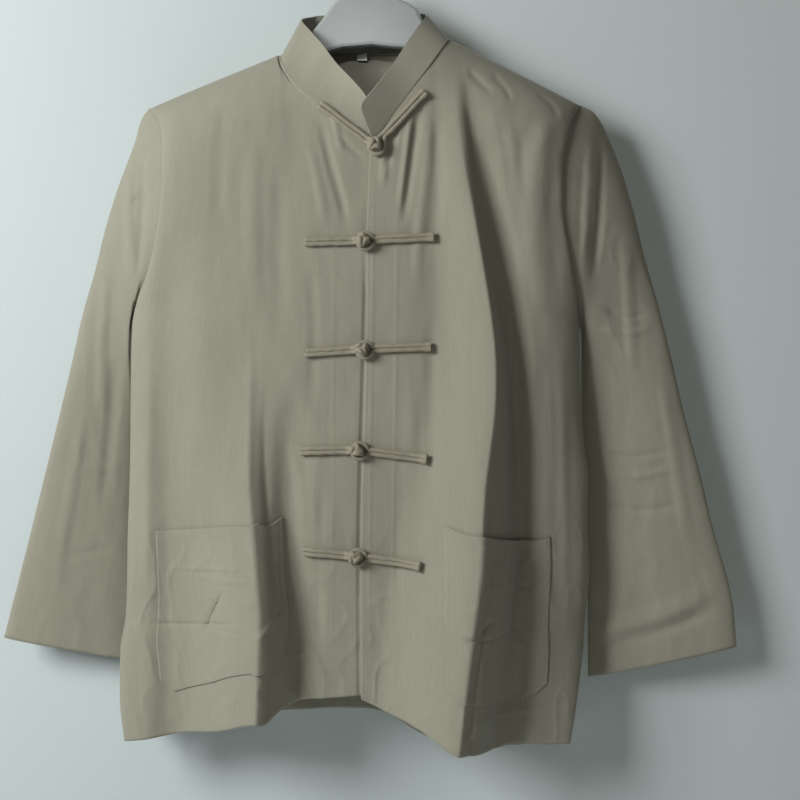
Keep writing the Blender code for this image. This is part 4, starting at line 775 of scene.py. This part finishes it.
def collar_grid(heights):
    foot = []
    for part, points in (("left front", front_point("left", left_u, np.zeros_like(left_u))),
                         ("back", back_point(back_u, np.zeros_like(back_u))),
                         ("right front", front_point("right", right_u[::-1], np.zeros_like(right_u)))):
        for x, y, z in points:
            if part == "left front" and LEFT_NECK[0][0] + 1e-4 < x < 0.0075:
                foot.append((part, x, y, z))
            if part == "back" and LEFT_NECK[0][0] - 1e-3 <= x <= RIGHT_NECK[0][0] + 1e-3:
                foot.append((part, x, y, z))
            if part == "right front" and x < RIGHT_NECK[0][0] - 1e-4:
                foot.append((part, x, y, z))
    tables = {}
    for part, extra in (("left front", COLLAR_TOP[5:6]), ("back", []), ("right front", COLLAR_TOP[9:10])):
        tables[part] = [row[1:] for row in COLLAR_TOP if row[0] == part] + [row[1:] for row in extra]
    grid = np.zeros((len(heights), len(foot), 3))
    line = np.array([row[1:] for row in foot])
    along = np.concatenate([[0], np.cumsum(np.linalg.norm(np.diff(line, axis=0), axis=1))])
    for j, (part, x, y, z) in enumerate(foot):
        ended = max(0.0, 1 - min(along[j], along[-1] - along[j]) / COLLAR_CORNER)
        reach = 1 - (1 - math.sqrt(1 - ended ** 2)) * COLLAR_CORNER / COLLAR_HIGH
        top = np.array([spline(tables[part], x, 0, k) for k in (1, 2, 3)])
        inward = 1 if x < 0 else -1
        side = 1 - smooth(0.004, 0.03, abs(abs(x) - 0.096))
        low = np.array((x + inward * side * GAP, y, z + GAP * 1.3 + side * 0.0013))
        for i, share in enumerate(heights):
            grid[i, j] = low + (top - low) * share * reach
    return grid


collar = collar_grid(np.concatenate([np.linspace(0, 0.8, 20)[:-1], ease(14, 0.8, 1, 1.5)]))
for k in range(3):
    for _ in range(3):
        inner = collar[1:, 1:-1, k]
        collar[1:, 1:-1, k] = 0.5 * inner + 0.25 * (collar[1:, :-2, k] + collar[1:, 2:, k])
inward = -collar[:1] * (1, 1, 0)
inward *= COLLAR_TUCK_IN / np.linalg.norm(inward, axis=-1, keepdims=True)
tucked = collar[:1] + inward - (0, 0, COLLAR_TUCK_DOWN)
collar = np.concatenate([tucked, collar])
piece = cloth_piece("collar_cloth", collar[::-1], cotton, thick=COLLAR_THICK)
piece.data.materials.append(cotton_inside)
piece.modifiers["cloth"].material_offset = 1
stand_for(piece, "collar")


# Pockets
# Two large patch pockets with chamfered lower corners, which follow the fronts' folds.
# Outlines as shares of the front's width and length: from the inner to the outer side at the top
# and at the bottom, and from the top down at the inner and outer side.
POCKET_EDGES = {
    "left": ([(0.36, 0.6918), (0.472, 0.7137), (0.583, 0.7008), (0.8372, 0.6831),
        (0.869, 0.6816)], [(0.35, 0.92), (0.395, 0.92), (0.4348, 0.9269), (0.5552, 0.9258),
        (0.7754, 0.9363)], [(0.36, 0.6918), (0.3474, 0.794), (0.326, 0.8441), (0.327, 0.887),
        (0.35, 0.92)], [(0.869, 0.6816), (0.8527, 0.8256), (0.8314, 0.9149), (0.7754, 0.9363)]),
    "right": ([(0.345, 0.703), (0.516, 0.6987), (0.6743, 0.7003), (0.7699, 0.696),
        (0.818, 0.688)], [(0.41, 0.931), (0.6094, 0.9307), (0.6868, 0.9338),
        (0.7831, 0.9318)], [(0.345, 0.703), (0.3533, 0.8307), (0.3685, 0.918),
        (0.41, 0.931)], [(0.818, 0.688), (0.8175, 0.7628), (0.8242, 0.8277), (0.8422, 0.9085),
        (0.7831, 0.9318)])}
POCKET_LIFT = 0.0015
POCKET_THICK = 0.0011
pockets = {}


def panel_normal(grid):
    across, down = np.gradient(grid, axis=1), np.gradient(grid, axis=0)
    normal = np.cross(across, down)
    return normal * np.sign(-normal[..., 1:2]) / np.linalg.norm(normal, axis=-1, keepdims=True)


def edge_share(edge, share):
    """Points of a bent line at shares of its own length."""
    line = np.array(edge)
    length = np.concatenate([[0], np.cumsum(np.hypot(*np.diff(line, axis=0).T))])
    return np.stack([np.interp(share * length[-1], length, line[:, k]) for k in (0, 1)], axis=-1)


for side in ("left", "right"):
    s, t = np.meshgrid(np.linspace(0, 1, 90), np.linspace(0, 1, 110))
    top, low, inner, outer = (edge_share(edge, share) for edge, share in zip(POCKET_EDGES[side], (s, s, t, t)))
    corners = [np.array(POCKET_EDGES[side][k][end]) for k in (0, 1) for end in (0, -1)]
    s, t = s[..., None], t[..., None]
    place = (1 - t) * top + t * low + (1 - s) * inner + s * outer \
        - (1 - t) * ((1 - s) * corners[0] + s * corners[1]) - t * ((1 - s) * corners[2] + s * corners[3])
    u, v, s, t = place[..., 0], place[..., 1], s[..., 0], t[..., 0]
    grid = front_detail(side, front_point(side, u, v), u)
    mouth = 0.0022 * np.exp(-t / 0.1) * np.sin(math.pi * s) ** 0.6
    bulge = 0.0012 * np.sin(math.pi * s) * np.sin(math.pi * t)
    grid = grid + panel_normal(grid) * (POCKET_LIFT + mouth + bulge)[..., None]
    pockets[side] = grid
    piece = cloth_piece(f"pocket_{side}_cloth", grid, cotton, thick=POCKET_THICK, turn=side == "right")
    stand_for(piece, f"pocket_{side}")


# Frogs
# Each frog is bias cord: on the left a doubled cord ends in a knotted ball, and on the right a
# doubled cord makes the loop round it.  Both lie flat on the fronts.
CORD_R = 0.0025
BALL_R = 0.0068
FROG_LIFT = 0.0006
LANE_SHIFT = 0.0023     # from the middle line to each of the two cords
LOOP_R = 0.0083
FROGS = [
    (-0.0489, -0.2085, 0.01, -0.253, 0.064, -0.195), (-0.0653, -0.3563, -0.0027, -0.3549, 0.0736, -0.3509),
    (-0.0631, -0.4758, -0.0037, -0.4717, 0.0704, -0.4693),
    (-0.069, -0.5816, -0.0093, -0.5802, 0.0662, -0.5901),
    (-0.067, -0.6911, -0.0115, -0.6957, 0.0586, -0.7048)]
cord_cotton = cloth_material("bias cord cotton", (0.295, 0.278, 0.212), 0.22, 1.3)


def surface_y(x, z):
    opening = spline(OPENING, z)
    near = np.minimum(np.abs(x - opening) / 0.25, 0.9)
    lap = np.where(x < opening, 0.0, LAP_RISE * (1 - smooth(0.03, 0.09, x)))
    return front_y(x, z, near, 0.0) - lap


def sweep(points, radius, sides=12, flat=1.0, ripple=0.0, seed=0):
    """Tube of cord through points; radius may be one value or one for each point."""
    path = [Vector(p) for p in points]
    radii = np.broadcast_to(radius, len(path))
    up = Vector((0, -1, 0))
    verts, length = [], [0.0]
    for a, b in zip(path[:-1], path[1:]):
        length.append(length[-1] + (b - a).length)
    for i, p in enumerate(path):
        ahead = (path[min(i + 1, len(path) - 1)] - path[max(i - 1, 0)]).normalized()
        side = ahead.cross(up)
        if side.length < 0.2:
            side = ahead.cross(Vector((0, 0, 1)))
        side.normalize()
        out = side.cross(ahead).normalized()
        for k in range(sides):
            a = 2 * math.pi * k / sides
            r = radii[i] * (1 + ripple * math.sin(3 * a + length[i] * 900 + seed))
            verts.append(p + side * (r * math.cos(a)) + out * (r * flat * math.sin(a)))
    faces, uvs = [], []
    girth = 2 * math.pi * float(np.mean(radii))
    for i in range(len(path) - 1):
        for k in range(sides):
            n = (k + 1) % sides
            faces.append((i * sides + k, i * sides + n, (i + 1) * sides + n, (i + 1) * sides + k))
            for row, col in ((i, k), (i, k + 1), (i + 1, k + 1), (i + 1, k)):
                across = girth * col / sides
                uvs.append((across + length[row] * 0.7, length[row] - across * 0.7))
    for row in (0, len(path) - 1):
        loop = [row * sides + k for k in range(sides)]
        faces.append(loop[::-1] if row == 0 else loop)
        uvs += [(0.0, 0.0)] * sides
    return verts, faces, uvs


def joined(name, tubes, paint):
    verts, faces, uvs = [], [], []
    for v, f, t in tubes:
        faces += [[i + len(verts) for i in face] for face in f]
        verts += v
        uvs += t
    mesh = bpy.data.meshes.new(name)
    mesh.from_pydata(verts, [], faces)
    layer = mesh.uv_layers.new(name="cloth")
    layer.data.foreach_set("uv", np.array(uvs, float).ravel())
    work = bmesh.new()
    work.from_mesh(mesh)
    bmesh.ops.recalc_face_normals(work, faces=work.faces)
    work.to_mesh(mesh)
    work.free()
    mesh.shade_smooth()
    made = bpy.data.objects.new(name, mesh)
    bpy.context.scene.collection.objects.link(made)
    made.data.materials.append(paint)
    return made


def round_path(points, count):
    """Many points on a smooth curve through a few."""
    rows = np.array(points, float)
    length = np.concatenate([[0], np.cumsum(np.linalg.norm(np.diff(rows, axis=0), axis=1))])
    t = np.linspace(0, length[-1], count)
    return np.stack([spline(list(zip(length, rows[:, k])), t) for k in range(3)], axis=1)


def knot(centre, radius, turn):
    """Button knot: one cord wound three times round a ball, each turn over and under the next."""
    leads, bights = 2, 3
    t = np.linspace(0, 2 * math.pi, 130)
    latitude = 0.92 * np.cos(bights * t)
    r = radius * (0.8 + 0.1 * np.sin(2 * bights * t))
    local = np.stack([r * np.cos(latitude) * np.cos(leads * t), -r * np.sin(latitude) * 1.02,
                      r * np.cos(latitude) * np.sin(leads * t)], axis=1)
    c, s = math.cos(turn), math.sin(turn)
    lean = np.array([[c, 0, -s], [0, 1, 0], [s, 0, c]])
    lean = lean @ np.array([[0.94, -0.34, 0], [0.34, 0.94, 0], [0, 0, 1]])
    tube = sweep((local @ lean.T + centre).tolist(), radius * 0.4, 10)
    ball = sweep([(centre[0], centre[1] + radius * 0.8 * math.cos(a), centre[2])
                  for a in np.linspace(0.02, math.pi - 0.02, 12)],
                 [radius * 0.8 * math.sin(a) for a in np.linspace(0.02, math.pi - 0.02, 12)], 14)
    return [tube, ball]


for number, (left_x, left_z, ball_x, ball_z, right_x, right_z) in enumerate(FROGS, 1):
    level = min(float(surface_y(ball_x + d, ball_z)) for d in (-0.008, 0, 0.008)) - FROG_LIFT - CORD_R
    ball_y = level - 0.0058

    def lane(x0, z0, x1, z1, shift, share, lift=0.0):
        length = math.hypot(x1 - x0, z1 - z0)
        x = x0 + (x1 - x0) * share - (z1 - z0) / length * shift
        z = z0 + (z1 - z0) * share + (x1 - x0) / length * shift
        ahead = min(float(surface_y(x + d, z)) for d in (-0.004, 0, 0.004))
        return np.array((x, ahead - FROG_LIFT - CORD_R - lift, z))

    rng = random.Random(70 + number)
    tubes = []
    length = math.hypot(ball_x - left_x, ball_z - left_z)
    for shift in (LANE_SHIFT, -LANE_SHIFT):
        reach = -0.004 * rng.random()
        run = [lane(left_x, left_z, ball_x, ball_z, shift + rng.uniform(-3e-4, 3e-4), s, rng.uniform(0, 4e-4))
               for s in np.linspace(reach / length, 1 - 0.012 / length, 8)]
        near = lane(left_x, left_z, ball_x, ball_z, shift * 0.8, 1 - 0.006 / length)
        near[1] = ball_y + 0.003
        path = round_path(run + [near, (ball_x, ball_y + 0.001, ball_z)], 60)
        radii = CORD_R * (1 + 0.05 * np.sin(np.linspace(0, 30, 60) + shift * 1000))
        radii[0:2] *= (0.45, 0.92)
        tubes.append(sweep(path.tolist(), radii, 12, 0.9, 0.03, number))
    tubes += knot(np.array((ball_x, ball_y, ball_z)), BALL_R, 0.7 * number)
    button = joined(f"frog_button_{number}_cord", tubes, cord_cotton)
    stand_for(button, f"frog_button_{number}")

    length = math.hypot(right_x - ball_x, right_z - ball_z)
    heading = math.atan2(right_z - ball_z, right_x - ball_x)
    sides = []
    for shift in (LANE_SHIFT, -LANE_SHIFT):
        sides.append([lane(right_x, right_z, ball_x, ball_z, shift + rng.uniform(-2e-4, 2e-4), s,
                           rng.uniform(0, 4e-4))
                      for s in np.linspace(0, 1 - 0.013 / length, 7)])
    centre = np.array((ball_x + 0.003 * math.cos(heading), level - 0.0022, ball_z - 0.001))
    ring = [centre + LOOP_R * np.array((math.cos(a), 0, math.sin(a)))
            for a in heading + np.radians(np.linspace(-38, -322, 14))]
    first, second = sides
    if np.linalg.norm(first[-1] - ring[0]) > np.linalg.norm(first[-1] - ring[-1]):
        ring = ring[::-1]
    path = round_path(first + ring + second[::-1], 150)
    radii = CORD_R * (1 + 0.04 * np.sin(np.linspace(0, 70, 150)))
    radii[:8] *= np.linspace(1.35, 1.0, 8)
    radii[-8:] *= np.linspace(1.0, 1.35, 8)
    tubes = [sweep(path.tolist(), radii, 12, 0.9, 0.03, number)]
    loop = joined(f"frog_loop_{number}_cord", tubes, cord_cotton)
    stand_for(loop, f"frog_loop_{number}")


# Stitches
# Short raised threads, a little paler than the cloth: a double row round each pocket, and single
# rows along the pockets' mouths, the front hem and the cuffs.
thread = cloth_material("sewing thread", (0.47, 0.45, 0.37), 0.05, 0.5)
STITCH_PITCH = 0.0038
STITCH_LONG = 0.0029
STITCH_HALF = 0.0004


def on_grid(grid, rows, columns):
    """Points and outward normals of a cloth grid at fractional rows and columns."""
    normal = panel_normal(grid)
    i = np.clip(rows.astype(int), 0, grid.shape[0] - 2)
    j = np.clip(columns.astype(int), 0, grid.shape[1] - 2)
    a, b = (rows - i)[:, None], (columns - j)[:, None]
    made = []
    for field in (grid, normal):
        made.append((1 - a) * ((1 - b) * field[i, j] + b * field[i, j + 1])
                    + a * ((1 - b) * field[i + 1, j] + b * field[i + 1, j + 1]))
    return made


def stitch_line(points, normals):
    """Spindles along a path, one for each stitch, as tubes for joined."""
    length = np.concatenate([[0], np.cumsum(np.linalg.norm(np.diff(points, axis=0), axis=1))])
    made = []
    for start in np.arange(0.3 * STITCH_PITCH, length[-1] - STITCH_PITCH, STITCH_PITCH):
        ends = []
        for at in (start, start + STITCH_LONG):
            ends.append(Vector([np.interp(at, length, points[:, k]) for k in range(3)]))
        out = Vector([np.interp(start, length, normals[:, k]) for k in range(3)]).normalized()
        ahead = (ends[1] - ends[0]).normalized()
        side = ahead.cross(out) * STITCH_HALF
        middle = (ends[0] + ends[1]) / 2
        ahead *= STITCH_LONG / 2
        rise = out * STITCH_HALF * 1.3
        verts = [middle - ahead, middle + ahead, middle + side + rise * 0.3, middle - side + rise * 0.3,
                 middle + rise, middle - rise * 0.5]
        faces = [(0, 2, 4), (0, 4, 3), (0, 3, 5), (0, 5, 2), (1, 4, 2), (1, 3, 4), (1, 5, 3), (1, 2, 5)]
        made.append(([tuple(v) for v in verts], faces, [(0.0, 0.0)] * 24))
    return made


def sewn(name, lines):
    piece = joined(name, [stitch for line in lines for stitch in line], thread)
    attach(piece, "root")


def grid_line(grid, row_share, column_share, count=240):
    """Stitches along a line on a cloth grid, between shares of its rows and columns."""
    rows = np.interp(np.linspace(0, 1, count), np.linspace(0, 1, len(row_share)), row_share)
    columns = np.interp(np.linspace(0, 1, count), np.linspace(0, 1, len(column_share)), column_share)
    points, normals = on_grid(grid, rows * (grid.shape[0] - 1), columns * (grid.shape[1] - 1))
    return stitch_line(points, normals)


# shares of a piece's width and length at which its rows of stitches lie
POCKET_SEAMS = ((0.012, 0.008), (0.052, 0.04))
MOUTH_SEAM = 0.055
HEM_SEAMS = {"left": 0.944, "right": 0.94}
CUFF_SEAM = 0.945
for side in ("left", "right"):
    lines = []
    for a, b in POCKET_SEAMS:
        for rows, columns in (((0, 1 - b), (a, a)), ((0, 1 - b), (1 - a, 1 - a)), ((1 - b, 1 - b), (a, 1 - a))):
            lines.append(grid_line(pockets[side], rows, columns))
    lines.append(grid_line(pockets[side], (MOUTH_SEAM, MOUTH_SEAM), (0.01, 0.99)))
    sewn(f"pocket_{side}_stitches", lines)
    row = float(np.interp(HEM_SEAMS[side], PANEL_ROWS, np.linspace(0, 1, len(PANEL_ROWS))))
    sewn(f"front_{side}_stitches", [grid_line(fronts[side], (row, row), (0.0, 0.985), 500)])
    cuff = sleeves[side][:, :sleeves[side].shape[1] // 2]
    sewn(f"sleeve_{side}_stitches", [grid_line(cuff, (CUFF_SEAM, CUFF_SEAM), (0.01, 0.99), 300)])


# Neck label, hanger and hook
# A small bare woven tab, a satin grey moulded hanger and its plated wire hook keep the frame's
# own shapes.
def solid_material(name, colour, rough, metal=0.0, grain=60.0, depth=0.05):
    made = bpy.data.materials.new(name)
    made.use_nodes = True
    tree = made.node_tree
    shader = tree.nodes["Principled BSDF"]
    shader.inputs["Metallic"].default_value = metal
    place = tree.nodes.new("ShaderNodeTexCoord")
    speckle = node_in(tree, "ShaderNodeTexNoise", Scale=grain, Detail=4.0)
    tone = tree.nodes.new("ShaderNodeMapRange")
    tone.inputs["To Min"].default_value = rough - 0.06
    tone.inputs["To Max"].default_value = rough + 0.08
    ramp = tree.nodes.new("ShaderNodeValToRGB")
    ramp.color_ramp.elements[0].color = (*[c * (1 - depth) for c in colour], 1)
    ramp.color_ramp.elements[1].color = (*[c * (1 + depth) for c in colour], 1)
    tree.links.new(place.outputs["Object"], speckle.inputs["Vector"])
    tree.links.new(speckle.outputs["Fac"], tone.inputs["Value"])
    tree.links.new(speckle.outputs["Fac"], ramp.inputs["Fac"])
    tree.links.new(tone.outputs[0], shader.inputs["Roughness"])
    tree.links.new(ramp.outputs[0], shader.inputs["Base Color"])
    return made


for node, paint in (("neck_label", solid_material("woven tab", (0.72, 0.73, 0.7), 0.85, 0.0, 900.0, 0.1)),
                    ("hanger", solid_material("satin moulded plastic", (0.34, 0.37, 0.37), 0.42)),
                    ("hook", solid_material("plated wire", (0.6, 0.61, 0.62), 0.24, 1.0))):
    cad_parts[node].data.materials.clear()
    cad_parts[node].data.materials.append(paint)

low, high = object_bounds()
